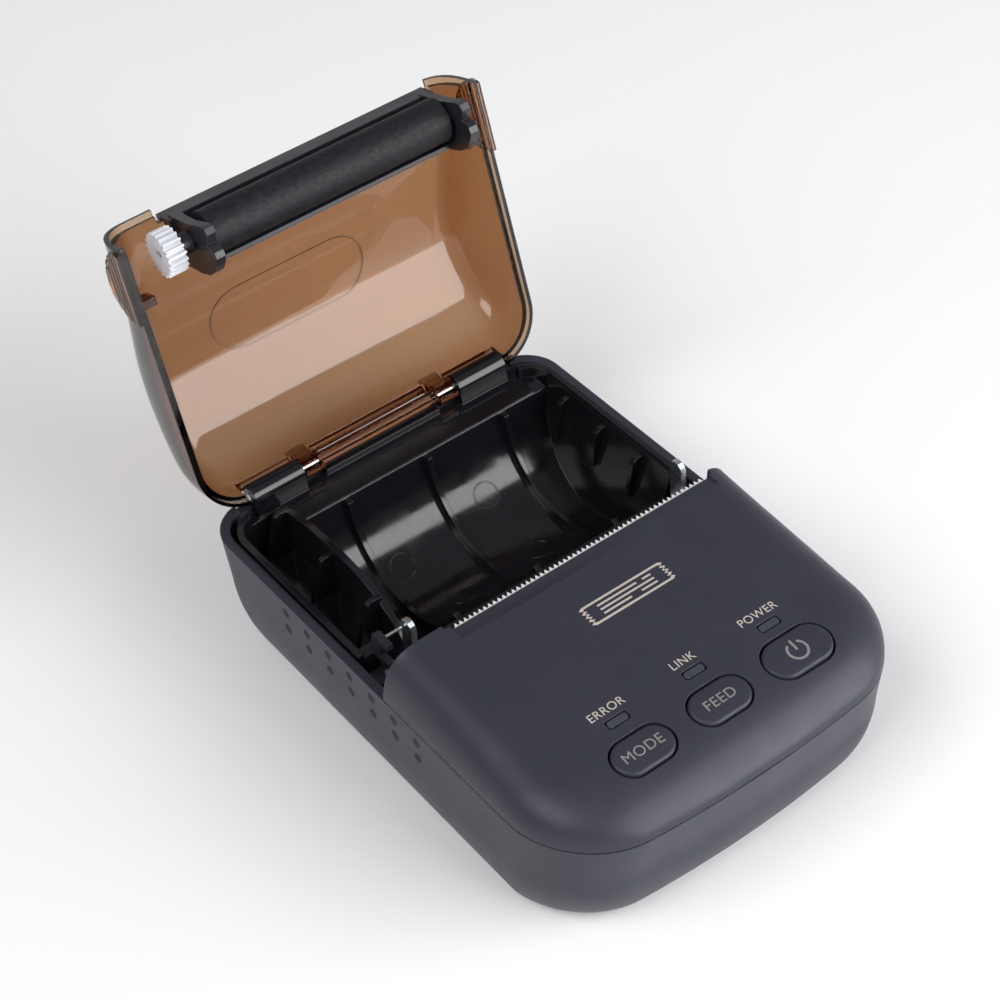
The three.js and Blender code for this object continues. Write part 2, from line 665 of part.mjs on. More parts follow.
function reductionGear() {
  const small = gearSolid(SMALL_TEETH, matePhase(DRIVE_PHASE, DRIVE_TEETH, TO_STEP, SMALL_TEETH),
    [FACE_OUTER_X[1] - 0.2, FACE_INNER_X[1]], STEP_AT, 0);
  const wheel = gearSolid(WHEEL_TEETH, TO_MOTOR, FACE_OUTER_X, STEP_AT, 0);
  return cutBy(joined(wheel, small), rodX(BORE_R, -42, -25, ...STEP_AT, 16));
}

function motorPinion() {
  const pinion = gearSolid(MOTOR_TEETH, TO_MOTOR + 180 + 180 / MOTOR_TEETH, FACE_OUTER_X, MOTOR_AT, 0);
  return joined(pinion, rodX(0.8, FACE_OUTER_X[1] - 0.5, -28.2, ...MOTOR_AT, 12));
}

// ---------------------------------------------------------------- print mechanism
function sidePlate(left) {
  const [x0, x1] = left ? TAB_LEFT_X : TAB_RIGHT_X;
  const low = left ? 4.4 : 15.5;
  const outline = [
    [-11.6, low], [left ? 8 : 4, low], [8.4, 16], [8.4, 30.6], [7.9, 31.6], [7, 32], [6, 31.9], [5.2, 31.3],
    [4.9, 30.4], [4.9, 24.8], [-0.1, 24.8], [-0.1, 29.4], [-1.6, 30.6], [-5, 30.6], [-11.6, 22],
  ];
  return prismX(outline, x0, x1);
}

function printFrame() {
  const x0 = TAB_LEFT_X[0];
  const x1 = TAB_RIGHT_X[1];
  let frame = joined(
    sidePlate(true),
    sidePlate(false),
    block(x0, x1, -11.6, 1.2, 17.4, 18.6),
    block(x0, x1, -11.6, -10.6, 17.4, 24),
  );
  frame = cutBy(frame, rodX(1.4, -31, -27, ...MOTOR_AT, 14));
  const post = (at, reach) => rodX(POST_R, reach, TAB_LEFT_X[1] - 0.4, ...at, 16);
  frame = joined(frame, post(DRIVE_AT, FACE_INNER_X[0] - 0.3), post(STEP_AT, FACE_OUTER_X[0] - 0.4));
  const stay = block(30, 36.9, -11.6, -6, 15.5, 17.6);
  return joined(frame, stay);
}

function printHead() {
  return block(MECH_X - 30.4, MECH_X + 30.4, -7.2, -4.4, 19, 33.4);
}

function heaterStrip() {
  return block(MECH_X - 28.6, MECH_X + 28.6, -4.1, -2.8, 21.5, 32.8);
}

function headSpring() {
  const leaf = [[-10.2, 19], [-9.8, 19], [-9.6, 22], [-7.9, 26.5], [-7.6, 28], [-7.9, 28.1],
    [-8.3, 26.7], [-10, 22.2]];
  return prismX(leaf, MECH_X - 12, MECH_X + 12);
}

function headRibbon() {
  const strip = [[-8.6, 32.2], [-7.6, 32.4], [-7.6, 32.7], [-8.9, 32.6], [-12.6, 30.2], [-14.4, 26.4],
    [-15.1, 23.3], [-15.3, 22.5], [-15, 22.5], [-14.2, 26.2], [-12.4, 29.9]];
  return prismX(strip, MECH_X - 10, MECH_X + 10);
}

function stepperMotor() {
  const can = rodX(6.4, -28.2, -15, ...MOTOR_AT, 24);
  const tail = rodX(2.2, -15.5, -14, ...MOTOR_AT, 14);
  return cutBy(joined(can, tail), rodX(1.2, -30, -27.4, ...MOTOR_AT, 14));
}

function paperSensor() {
  return block(MECH_X - 3, MECH_X + 3, 1.6, 5.4, 18.9, 21.2);
}

function guardArm() {
  const outline = [[3.4, 25.9], [9.4, 25.9], [9.4, 27.6], [8.4, 31.9], [7.4, 32.6], [3.4, 32.2],
    [3.4, 30.9], [6.2, 30.6], [6.2, 27.4], [3.4, 27.4]];
  return prismX(outline, -36.4, -35.1);
}

function guardRod() {
  return rodX(0.35, -34.8, -30.2, 7.7, 29.8, 8);
}

// ---------------------------------------------------------------- board, power and ports
function mainBoard() {
  const outline = [[-32, -14.5], [-32, -46], [-24, -53.4], [24, -53.4], [32, -46], [32, -32.6],
    [38.6, -32.6], [38.6, -13.4], [32, -13.4], [32, -14.5]];
  return prismZ(outline, BOARD_Z, BOARD_Z + BOARD_T);
}

function radioModule() {
  return block(-26, -13, -34, -19, BOARD_Z + BOARD_T + GAP, BOARD_Z + BOARD_T + GAP + 2.4);
}

function buzzer() {
  return rodZ(4.5, BOARD_Z + BOARD_T + GAP, BOARD_Z + BOARD_T + GAP + 3.6, 22, -26, 20);
}

function batteryPack() {
  return block(-29.4, 29.4, -48.4, -22.6, 2.3, 18.4);
}

// The door turns about its rounded front edge.
const DOOR_T = 1.6;
const DOOR_HINGE_Y = -48.7;

function batteryDoor() {
  const half = DOOR_T / 2;
  const edge = rodX(half, -30.3, 30.3, DOOR_HINGE_Y, half, 16);
  const plate = joined(edge, block(-30.3, 30.3, DOOR_HINGE_Y, -21.5, 0, DOOR_T));
  const grip = block(-6, 6, -24.4, -23.2, -1, 0.5);
  return cutBy(plate, grip, block(-6, 6, -26.8, -25.6, -1, 0.5), block(-6, 6, -29.2, -28, -1, 0.5));
}

function batteryContacts() {
  return block(12, 28, -20.5, -16.5, 15, 20.4);
}

function dataPort() {
  const shell = block(33, 41.6, -31.7, -24.2, 16.7, 20.6);
  const hollow = block(34, 43, -31.2, -24.7, 17.2, 20.1);
  return joined(cutBy(shell, hollow), block(33.5, 40.6, -30, -26, 18.3, 19));
}

function chargeJack() {
  const housing = block(32.4, 39.3, -22, -13.6, 11.9, 20.6);
  return joined(cutBy(housing, rodX(3.1, 34, 42, -17.6, 16.2, 18)), rodX(0.8, 33.5, 38.8, -17.6, 16.2, 10));
}

// ---------------------------------------------------------------- lid
function padRidges(s) {
  const outline = [[-1.4, 26.4], [-1.9, 29], [1, 32.8], [4, 34.4], [8, 34.6], [11, 32.8],
    [13.2, 29.6], [13.6, 26.4]];
  const x0 = s < 0 ? -HALF_WIDTH - 0.8 : HALF_WIDTH - 1.2;
  const x1 = s < 0 ? -HALF_WIDTH + 1.2 : HALF_WIDTH + 0.8;
  let pad = prismX(outline, x0, x1);
  for (const z of [27.8, 29.2, 30.6, 32]) {
    const xo = s < 0 ? -HALF_WIDTH - 1 : HALF_WIDTH + 0.35;
    pad = cutBy(pad, block(xo, xo + 0.65, -4, 15, z, z + 0.55));
  }
  return pad;
}

function lidShell() {
  const outer = lidForm(0);
  const inner = lidForm(LID_SKIN);
  let body = joined(outer, padRidges(-1), padRidges(1));
  body = cutBy(body, inner);
  body = cutBy(body, block(MECH_X - 32.7, MECH_X + 32.7, -6, 0.5, 33, 50));
  body = cutBy(body, block(-32.8, 32.8, 54, 64, 20, 31.6));
  for (const s of [-1, 1]) {
    const x0 = s < 0 ? -19.2 : 14.8;
    const web = [[57.2, 29.6], [58.6, 27.9], [60.2, 29.6], [59.3, 33.4], [57.6, 34.2], [56.4, 33]];
    body = joined(body, prismX(web, x0, x0 + 4.4), rodX(2.4, x0, x0 + 4.4, HINGE_Y, HINGE_Z, 18));
  }
  body = joined(body, rodX(1.5, -15.2, 15.2, HINGE_Y, HINGE_Z, 14));
  const pinHole = (x0, x1) => rodX(PIN_R + 0.1, x0, x1, HINGE_Y, HINGE_Z, 14);
  body = cutBy(body, pinHole(-20, -15), pinHole(15, 20));
  for (const x0 of [-40.6, 37.4]) {
    body = joined(body, prismX([[9.6, 27.3], [11.3, 27.3], [12.4, 31], [9.6, 31]], x0, x0 + 3.2));
  }
  return body;
}

function lidCarrier() {
  const half = 31.9;
  const bar = joined(
    block(MECH_X - half, MECH_X + half, -0.9, 0.1, 33.8, 38.5),
    block(MECH_X - half, MECH_X + half, 0, 2.4, 33.8, 35.6),
    block(MECH_X - half, MECH_X - half + 3.4, -0.9, 4, 32.6, 35.6),
  );
  const roof = block(MECH_X - half, MECH_X + half, 2, 9.2, 34.4, 35.6);
  const tray = prismX([[8, 35], [8, 30], [8.6, 28], [9.5, 28], [9.4, 35]], MECH_X - 29.4, MECH_X + 29.4);
  const cheek = [[-1.2, 35], [-1.2, 27], [-2, 21], [-1.8, 19.6], [-0.6, 19], [1.2, 19.9], [1.9, 20.6],
    [2.2, 19.2], [2.9, 18.2], [4.2, 17.9], [5.9, 18.9], [7.6, 20.6], [9, 23.4], [9.5, 27], [9.2, 35]];
  const bracket = (x0) => prismX(cheek, x0, x0 + 2);
  const body = joined(bar, roof, tray, bracket(MECH_X - 31), bracket(MECH_X + 29));
  return cutBy(body, rodX(SHAFT_R + 0.2, MECH_X - 33, MECH_X + 33, PLATEN_Y, PLATEN_Z, 18));
}

function platenShaft() {
  return rodX(SHAFT_R, -33.2, 38.6, PLATEN_Y, PLATEN_Z, 18);
}

function platenRubber() {
  const tube = rodX(PLATEN_R, MECH_X - PLATEN_HALF, MECH_X + PLATEN_HALF, PLATEN_Y, PLATEN_Z, 36);
  return cutBy(tube, rodX(SHAFT_R + GAP, -40, 50, PLATEN_Y, PLATEN_Z, 18));
}

function bushing(x0, x1) {
  const ring = rodX(2.2, x0, x1, PLATEN_Y, PLATEN_Z, 18);
  return cutBy(ring, rodX(SHAFT_R + 0.1, x0 - 1, x1 + 1, PLATEN_Y, PLATEN_Z, 18));
}

// ---------------------------------------------------------------- assembly
const printer = new THREE.Group();

function place(name, geometry, look) {
  const mesh = new THREE.Mesh(geometry, new THREE.MeshStandardMaterial(look));
  mesh.name = name;
  printer.add(mesh);
}

function fixed(name, body, look) {
  place(name, geometryOf(body), look);
}

function onLid(name, body, look) {
  place(name, openLid(geometryOf(body)), look);
}

fixed('bottom_case', bottomCase(), BODY);
fixed('top_cover', topCover(), BODY);
fixed('paper_tub', paperTub(), TUB);
fixed('hinge_pin_left', hingePin(-1), STEEL);
fixed('hinge_pin_right', hingePin(1), STEEL);
fixed('tear_bar', tearBar(), STEEL);
fixed('print_frame', printFrame(), ZINC);
fixed('print_head', printHead(), ZINC);
fixed('heater_strip', heaterStrip(), CERAMIC);
fixed('head_spring', headSpring(), STEEL);
fixed('head_ribbon', headRibbon(), RIBBON);
fixed('stepper_motor', stepperMotor(), ZINC);
fixed('motor_pinion', motorPinion(), BRASSY);
fixed('reduction_gear', reductionGear(), GEAR);
fixed('drive_gear', driveGear(), GEAR);
fixed('paper_sensor', paperSensor(), BLACK);
fixed('guard_arm', guardArm(), BLACK);
fixed('guard_rod', guardRod(), STEEL);
fixed('main_board', mainBoard(), BOARD);
fixed('radio_module', radioModule(), ZINC);
fixed('buzzer', buzzer(), BLACK);
fixed('battery_pack', batteryPack(), CELL);
fixed('battery_door', batteryDoor(), BODY);
fixed('battery_contacts', batteryContacts(), BLACK);
fixed('data_port', dataPort(), STEEL);
fixed('charge_jack', chargeJack(), BLACK);
fixed('lamp_error', lamp(LAMP_X[0]), LENS);
fixed('lamp_link', lamp(LAMP_X[1]), LENS);
fixed('lamp_power', lamp(LAMP_X[2]), LENS);
for (const [name, spec] of Object.entries(KEYS)) {
  fixed(`key_${name}`, key(spec), BODY);
  fixed(`switch_${name}`, keySwitch(spec), BLACK);
}
['front_left', 'front_right', 'rear_left', 'rear_right'].forEach((corner, i) => {
  fixed(`foot_${corner}`, foot(FEET[i]), RUBBER);
  fixed(`screw_${corner}`, screw(BOSSES[i], i), STEEL);
});
onLid('lid_shell', lidShell(), SMOKE);
onLid('lid_carrier', lidCarrier(), BLACK);
onLid('platen_shaft', platenShaft(), STEEL);
onLid('platen_rubber', platenRubber(), RUBBER);
onLid('platen_gear', platenGear(), GEAR);
onLid('bushing_left', bushing(-29.9, -27.3), BLACK);
onLid('bushing_right', bushing(35.4, 38.2), BLACK);

export default printer;
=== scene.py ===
"""Looks of a pocket-size receipt printer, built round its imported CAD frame."""
import math

import bmesh
import bpy
from mathutils import Matrix, Vector


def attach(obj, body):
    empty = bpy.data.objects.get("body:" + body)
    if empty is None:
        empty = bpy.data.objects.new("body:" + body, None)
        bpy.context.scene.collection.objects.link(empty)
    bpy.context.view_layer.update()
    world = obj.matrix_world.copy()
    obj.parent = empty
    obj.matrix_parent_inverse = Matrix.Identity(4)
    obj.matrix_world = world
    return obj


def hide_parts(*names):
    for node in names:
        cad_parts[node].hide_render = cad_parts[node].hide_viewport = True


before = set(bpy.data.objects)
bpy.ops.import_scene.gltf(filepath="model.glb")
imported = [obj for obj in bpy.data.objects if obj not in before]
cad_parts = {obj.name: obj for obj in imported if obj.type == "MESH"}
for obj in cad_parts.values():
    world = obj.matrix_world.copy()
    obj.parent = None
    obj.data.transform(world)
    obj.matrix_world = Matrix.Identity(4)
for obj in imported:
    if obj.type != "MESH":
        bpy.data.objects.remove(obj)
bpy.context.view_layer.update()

# ------------------------------------------------------------ sizes, in millimetres
MM = 0.001
HALF_WIDTH = 42.0
FRONT_Y = -61.0
REAR_Y = 61.0
FRONT_BOW = 0.00204
PARTING_Z = 26.0
BELLY_Z = 15.0
WALL = 2.0
LOWER_EDGE_Z = 26.3
MECH_X = 4.06
HINGE_Y = 58.8
HINGE_Z = 28.2
HINGE_BORE_R = 0.9
LID_OPEN = math.radians(105.8)
CUT_Y = -2.3
LID_CUT_Y = -1.9
LID_REAR_Y = 59.5
CRADLE = (29.5, 26.0, 20.0)
TUB_LEFT = -26.0
KEY_TILT = 0.136
LAMP_X = (-16.8, 1.1, 19.2)
LAMP_Y = -40.8
KEYS = {"mode": (-17.2, -48.4, 13.8, 8.4), "feed": (0.7, -48.4, 13.8, 8.4), "power": (19.4, -48.4, 15.7, 9.3)}
BLADE_HALF = 30.6
COVER_TOP = [(-61, 30.5), (-55, 33), (-48, 34.6), (-40, 35.7), (-30, 36.9), (-20, 37.7), (-10, 38.3),
             (-3.7, 38.6), (0, 38.7)]
LID_TOP = [(-4, 39.1), (6, 39.5), (14, 40.7), (20, 43), (26, 45.4), (33, 46.5), (40, 45.8), (46, 43.8),
           (52, 40.2), (58, 35.4)]
FEET = ((-29, -12), (29, -12), (-26, 40), (26, 40))
BOSSES = ((-35.4, -36), (35.4, -36), (-33.5, 46), (33.5, 46))
BOSS_R = 2.8
SCREW_HOLE_R = 1.25
SCREW_HEAD_R = 2.5
FOOT_R = 3.6
DIMPLE_ROWS_Z = (23, 18.7)
DIMPLE_FIRST_Y = 31.2
DIMPLE_PITCH = 7.25
PLATEN_Y = 2.4
PLATEN_Z = 27.4


def lid_open_matrix():
    """Carries a point of the closed lid, in metres, to the open lid."""
    hinge = Vector((0, HINGE_Y * MM, HINGE_Z * MM))
    return Matrix.Translation(hinge) @ Matrix.Rotation(-LID_OPEN, 4, "X") @ Matrix.Translation(-hinge)


# ------------------------------------------------------------ node helpers
def link(tree, a, out, b, into):
    tree.links.new(a.outputs[out], b.inputs[into])


def node(tree, kind, **values):
    n = tree.nodes.new(kind)
    for key, value in values.items():
        if key in n.inputs:
            n.inputs[key].default_value = value
        else:
            setattr(n, key, value)
    return n


def noise(tree, coords, scale, detail=3.0, rough=0.55, stretch=None):
    source = coords
    if stretch:
        mapping = node(tree, "ShaderNodeMapping")
        mapping.inputs["Scale"].default_value = stretch
        link(tree, coords, "Object", mapping, "Vector")
        source = mapping
    n = node(tree, "ShaderNodeTexNoise")
    n.inputs["Scale"].default_value = scale
    n.inputs["Detail"].default_value = detail
    n.inputs["Roughness"].default_value = rough
    link(tree, source, "Vector" if stretch else "Object", n, "Vector")
    return n


def remap(tree, source, out, low, high, to_low, to_high):
    m = node(tree, "ShaderNodeMapRange")
    m.inputs["From Min"].default_value = low
    m.inputs["From Max"].default_value = high
    m.inputs["To Min"].default_value = to_low
    m.inputs["To Max"].default_value = to_high
    link(tree, source, out, m, "Value")
    return m


def edge_mask(tree, radius):
    """1 near a sharp edge, 0 on a broad face."""
    bevel = node(tree, "ShaderNodeBevel", samples=4)
    bevel.inputs["Radius"].default_value = radius
    geometry = node(tree, "ShaderNodeNewGeometry")
    dot = node(tree, "ShaderNodeVectorMath", operation="DOT_PRODUCT")
    link(tree, bevel, "Normal", dot, 0)
    link(tree, geometry, "Normal", dot, 1)
    return remap(tree, dot, "Value", 0.99, 0.86, 0.0, 1.0)


def surface(name, color, rough, vary=0.12, rough_vary=0.08, grain=1600.0, bump=0.1, bump_height=0.02,
            soft_edge=0.25, wear=0.0, wear_color=(0.3, 0.3, 0.32), stretch=None, mottle=60.0, **fixed):
    """A principled material with colour drift, roughness drift, a grain bump, softened and worn edges."""
    mat = bpy.data.materials.new(name)
    mat.use_nodes = True
    tree = mat.node_tree
    bsdf = tree.nodes["Principled BSDF"]
    for key, value in fixed.items():
        bsdf.inputs[key.replace("_", " ")].default_value = value
    coords = node(tree, "ShaderNodeTexCoord")
    drift = noise(tree, coords, mottle, 4.0, 0.6)
    ramp = node(tree, "ShaderNodeValToRGB")
    ramp.color_ramp.elements[0].position = 0.3
    ramp.color_ramp.elements[1].position = 0.7
    ramp.color_ramp.elements[0].color = [c * (1 - vary) for c in color] + [1]
    ramp.color_ramp.elements[1].color = [min(1, c * (1 + vary)) for c in color] + [1]
    link(tree, drift, "Fac", ramp, "Fac")
    out, socket = ramp, "Color"
    if wear > 0:
        mask = edge_mask(tree, soft_edge * 2.2 * MM)
        patches = noise(tree, coords, 260.0, 4.0, 0.6)
        broken = remap(tree, patches, "Fac", 0.45, 0.62, 0.0, wear)
        both = node(tree, "ShaderNodeMath", operation="MULTIPLY")
        link(tree, mask, "Result", both, 0)
        link(tree, broken, "Result", both, 1)
        mix = node(tree, "ShaderNodeMix", data_type="RGBA")
        link(tree, both, "Value", mix, 0)
        link(tree, ramp, "Color", mix, 6)
        mix.inputs[7].default_value = (*wear_color, 1)
        out, socket = mix, 2
    tree.links.new(out.outputs[socket], bsdf.inputs["Base Color"])
    fine = noise(tree, coords, grain, 2.0, 0.5, stretch)
    smear = noise(tree, coords, mottle * 2.3, 5.0, 0.6)
    level = remap(tree, smear, "Fac", 0.3, 0.7, max(0.02, rough - rough_vary), min(1, rough + rough_vary))
    link(tree, level, "Result", bsdf, "Roughness")
    soft = node(tree, "ShaderNodeBevel", samples=4)
    soft.inputs["Radius"].default_value = soft_edge * MM
    relief = node(tree, "ShaderNodeBump")
    relief.inputs["Strength"].default_value = bump
    relief.inputs["Distance"].default_value = bump_height * MM
    link(tree, fine, "Fac", relief, "Height")
    link(tree, soft, "Normal", relief, "Normal")
    link(tree, relief, "Normal", bsdf, "Normal")
    return mat


def smoked_plastic():
    """Glossy brown see-through plastic that darkens with thickness."""
    mat = surface("smoked_plastic", (0.93, 0.87, 0.8), 0.05, vary=0.03, rough_vary=0.03, grain=90.0,
                  bump=0.06, bump_height=0.15, soft_edge=0.25, mottle=30.0, Transmission_Weight=1.0, IOR=1.49)
    tree = mat.node_tree
    fog = node(tree, "ShaderNodeVolumeAbsorption")
    fog.inputs["Color"].default_value = (0.65, 0.39, 0.12, 1)
    fog.inputs["Density"].default_value = 1250.0
    link(tree, fog, "Volume", tree.nodes["Material Output"], "Volume")
    return mat


def make_materials():
    m = {}
    m["body"] = surface("body_plastic", (0.027, 0.028, 0.04), 0.42, vary=0.05, rough_vary=0.04,
                        grain=4200.0, bump=0.22, bump_height=0.012, soft_edge=0.35, wear=0.1,
                        wear_color=(0.06, 0.06, 0.075), Specular_IOR_Level=0.32)
    m["tub"] = surface("tub_plastic", (0.006, 0.006, 0.008), 0.14, vary=0.2, rough_vary=0.07, grain=700.0,
                       bump=0.12, bump_height=0.03, soft_edge=0.3, mottle=45.0)
    m["smoke"] = smoked_plastic()
    m["black"] = surface("black_plastic", (0.014, 0.014, 0.018), 0.34, vary=0.15, rough_vary=0.08,
                         grain=1500.0, bump=0.2, bump_height=0.02, soft_edge=0.2, wear=0.15,
                         wear_color=(0.08, 0.08, 0.09))
    m["rubber"] = surface("platen_rubber", (0.008, 0.008, 0.0105), 0.58, vary=0.5, rough_vary=0.1,
                          grain=1500.0, bump=0.9, bump_height=0.09, soft_edge=0.4,
                          stretch=(0.4, 1.0, 1.0), mottle=700.0, Specular_IOR_Level=0.26)
    m["feet"] = surface("foot_rubber", (0.02, 0.02, 0.022), 0.85, vary=0.2, grain=1500.0, bump=0.4,
                        bump_height=0.04, soft_edge=0.3)
    m["gear"] = surface("white_acetal", (0.6, 0.605, 0.64), 0.45, vary=0.03, grain=900.0, bump=0.05,
                        bump_height=0.02, soft_edge=0.07)
    m["steel"] = surface("bright_steel", (0.62, 0.61, 0.585), 0.3, vary=0.06, grain=700.0, bump=0.25,
                         bump_height=0.01, soft_edge=0.06, stretch=(0.15, 4.0, 1.0), Metallic=1.0)
    m["blade"] = surface("brushed_blade", (0.95, 0.95, 0.93), 0.52, vary=0.04, grain=1500.0, bump=0.3,
                         bump_height=0.012, soft_edge=0.05, stretch=(4.0, 0.15, 1.0), Metallic=0.45)
    m["zinc"] = surface("zinc_sheet", (0.62, 0.66, 0.7), 0.32, vary=0.14, grain=500.0, bump=0.15,
                        bump_height=0.015, soft_edge=0.15, mottle=300.0, Metallic=1.0)
    m["brass"] = surface("turned_brass", (0.72, 0.5, 0.2), 0.3, vary=0.08, soft_edge=0.06, Metallic=1.0)
    m["alloy"] = surface("cast_alloy", (0.5, 0.51, 0.53), 0.42, vary=0.1, grain=900.0, bump=0.3, Metallic=1.0)
    m["ceramic"] = surface("glazed_ceramic", (0.72, 0.68, 0.58), 0.2, vary=0.05, soft_edge=0.15)
    m["board"] = surface("solder_mask", (0.012, 0.09, 0.035), 0.35, vary=0.15, grain=1200.0, soft_edge=0.1)
    m["film"] = surface("amber_film", (0.5, 0.24, 0.05), 0.3, vary=0.1, soft_edge=0.05)
    m["wrap"] = surface("shrink_wrap", (0.02, 0.06, 0.2), 0.3, vary=0.1, soft_edge=0.6)
    m["lens"] = surface("lamp_window", (0.04, 0.042, 0.052), 0.3, vary=0.06, grain=900.0, soft_edge=0.2)
    m["ink"] = surface("legend_ink", (0.42, 0.37, 0.33), 0.5, vary=0.06, grain=2500.0, bump=0.15,
                       bump_height=0.01, soft_edge=0.01)
    m["faint"] = surface("key_ink", (0.2, 0.182, 0.176), 0.5, vary=0.06, grain=2500.0, soft_edge=0.01)
    # Near-black paint for painted shade, used where a recess or bore should read dark: the screw crosses and
    # the disc in the gear hub.
    m["dark"] = surface("painted_recess_shade", (0.004, 0.004, 0.005), 0.6, vary=0.2, soft_edge=0.05)
    m["floor"] = surface("studio_floor", (0.86, 0.86, 0.86), 0.7, vary=0.005, rough_vary=0.02, grain=30.0,
                         bump=0.01, soft_edge=0.1, mottle=3.0)
    return m


# ------------------------------------------------------------ smooth shading
def shading_group():
    """Welds loose corners and shades smooth, except across edges sharper than about thirty degrees."""
    group = bpy.data.node_groups.new("smooth_by_angle", "GeometryNodeTree")
    group.interface.new_socket("Geometry", in_out="INPUT", socket_type="NodeSocketGeometry")
    group.interface.new_socket("Geometry", in_out="OUTPUT", socket_type="NodeSocketGeometry")
    enter = group.nodes.new("NodeGroupInput")
    leave = group.nodes.new("NodeGroupOutput")
    weld = group.nodes.new("GeometryNodeMergeByDistance")
    weld.inputs["Distance"].default_value = 2e-6
    faces = group.nodes.new("GeometryNodeSetShadeSmooth")
    edges = group.nodes.new("GeometryNodeSetShadeSmooth")
    edges.domain = "EDGE"
    angle = group.nodes.new("GeometryNodeInputMeshEdgeAngle")
    sharp = group.nodes.new("FunctionNodeCompare")
    sharp.operation = "GREATER_THAN"
    sharp.inputs[1].default_value = math.radians(31)
    edges.inputs["Shade Smooth"].default_value = False
    link(group, enter, 0, weld, 0)
    link(group, weld, 0, faces, 0)
    link(group, faces, 0, edges, 0)
    link(group, angle, 0, sharp, 0)
    link(group, sharp, 0, edges, "Selection")
    link(group, edges, 0, leave, 0)
    return group


SMOOTH = shading_group()


def smooth(obj):
    obj.modifiers.new("smooth", "NODES").node_group = SMOOTH


# ------------------------------------------------------------ solids
def make_object(name, verts, faces, matrix=None):
    mesh = bpy.data.meshes.new(name)
    mesh.from_pydata([Vector(v) * MM for v in verts], [], faces)
    bm = bmesh.new()
    bm.from_mesh(mesh)
    bmesh.ops.remove_doubles(bm, verts=bm.verts, dist=1e-7)
    bmesh.ops.recalc_face_normals(bm, faces=bm.faces)
    bm.to_mesh(mesh)
    bm.free()
    if matrix:
        mesh.transform(matrix)
    obj = bpy.data.objects.new(name, mesh)
    bpy.context.scene.collection.objects.link(obj)
    return obj


def prism(axis, outline, a, b, matrix=None):
    """A solid with a flat outline, from a to b along one axis."""
    def at(u, v, w):
        return {"x": (w, u, v), "y": (u, w, v), "z": (u, v, w)}[axis]
    n = len(outline)
    verts = [at(u, v, a) for u, v in outline] + [at(u, v, b) for u, v in outline]
    faces = [tuple(range(n)), tuple(range(n, 2 * n))]
    faces += [(i, (i + 1) % n, n + (i + 1) % n, n + i) for i in range(n)]
    return make_object("tool", verts, faces, matrix)


def block(x0, x1, y0, y1, z0, z1):
    return prism("z", [(x0, y0), (x1, y0), (x1, y1), (x0, y1)], z0, z1)


def arc(cx, cy, r, start, end, steps):
    """Points along an arc, with its angles in degrees."""
    out = []
    for i in range(steps + 1):
        a = math.radians(start + (end - start) * i / steps)
        out.append((cx + r * math.cos(a), cy + r * math.sin(a)))
    return out


def rod(axis, r, a, b, u, v, steps=40):
    return prism(axis, arc(u, v, r, 0, 360 - 360 / steps, steps - 1), a, b)


def stadium(w, h, steps=16):
    """Outline of a bar with round ends."""
    r = h / 2
    half = w / 2 - r
    return arc(half, 0, r, -90, 90, steps) + arc(-half, 0, r, 90, 270, steps)


def rounded(w, h, r, steps=5):
    """Outline of a rectangle with round corners."""
    x, y = w / 2 - r, h / 2 - r
    return (arc(x, y, r, 0, 90, steps) + arc(-x, y, r, 90, 180, steps)
            + arc(-x, -y, r, 180, 270, steps) + arc(x, -y, r, 270, 360, steps))


def ring_faces(n):
    """Faces of a closed ring whose points go lower outer, lower inner, upper outer, upper inner."""
    faces = []
    for i in range(n):
        j = (i + 1) % n
        faces += [(i, j, n + j, n + i), (2 * n + i, 2 * n + j, 3 * n + j, 3 * n + i),
                  (i, j, 2 * n + j, 2 * n + i), (n + i, n + j, 3 * n + j, 3 * n + i)]
    return faces


def combine(base, operation, tools):
    """Joins or cuts base with each tool in turn, and leaves the result in base."""
    for tool in tools:
        mod = base.modifiers.new("cut", "BOOLEAN")
        mod.operation = operation
        mod.solver = "MANIFOLD"
        mod.object = tool
        graph = bpy.context.evaluated_depsgraph_get()
        result = bpy.data.meshes.new_from_object(base.evaluated_get(graph))
        base.modifiers.clear()
        old = base.data
        base.data = result
        bpy.data.meshes.remove(old)
        bpy.data.objects.remove(tool)
    return base


def join(base, *tools):
    return combine(base, "UNION", tools)


def cut(base, *tools):
    return combine(base, "DIFFERENCE", tools)


def curve_at(table, x):
    """A smooth curve through the table's points."""
    if x <= table[0][0]:
        return table[0][1]
    if x >= table[-1][0]:
        return table[-1][1]
    k = max(i for i in range(len(table) - 1) if table[i][0] <= x)
    (x0, y0), (x1, y1) = table[k], table[k + 1]
    before = table[max(k - 1, 0)]
    after = table[min(k + 2, len(table) - 1)]
    m0 = (y1 - before[1]) / (x1 - before[0])
    m1 = (after[1] - y0) / (after[0] - x0)
    span = x1 - x0
    t = (x - x0) / span
    return ((2 * t**3 - 3 * t**2 + 1) * y0 + (t**3 - 2 * t**2 + t) * span * m0
            + (3 * t**2 - 2 * t**3) * y1 + (t**3 - t**2) * span * m1)


def straight(table, x):
    """A value between the table's points, along straight lines."""
    if x <= table[0][0]:
        return table[0][1]
    for (x0, y0), (x1, y1) in zip(table, table[1:]):
        if x <= x1:
            return y0 + (y1 - y0) * (x - x0) / (x1 - x0)
    return table[-1][1]


def front_bow(x, y):
    """How far the front wall stands back towards its ends."""
    return FRONT_BOW * x * x * min(max((-30 - y) / 15, 0), 1)


def crown(x):
    """How far the top falls away from its middle line."""
    return 0.4 * (x / 30) ** 2


def cover_top(x, y):
    return curve_at(COVER_TOP, y) - crown(x)


def lid_top(x, y):
    return curve_at(LID_TOP, y) - crown(x)


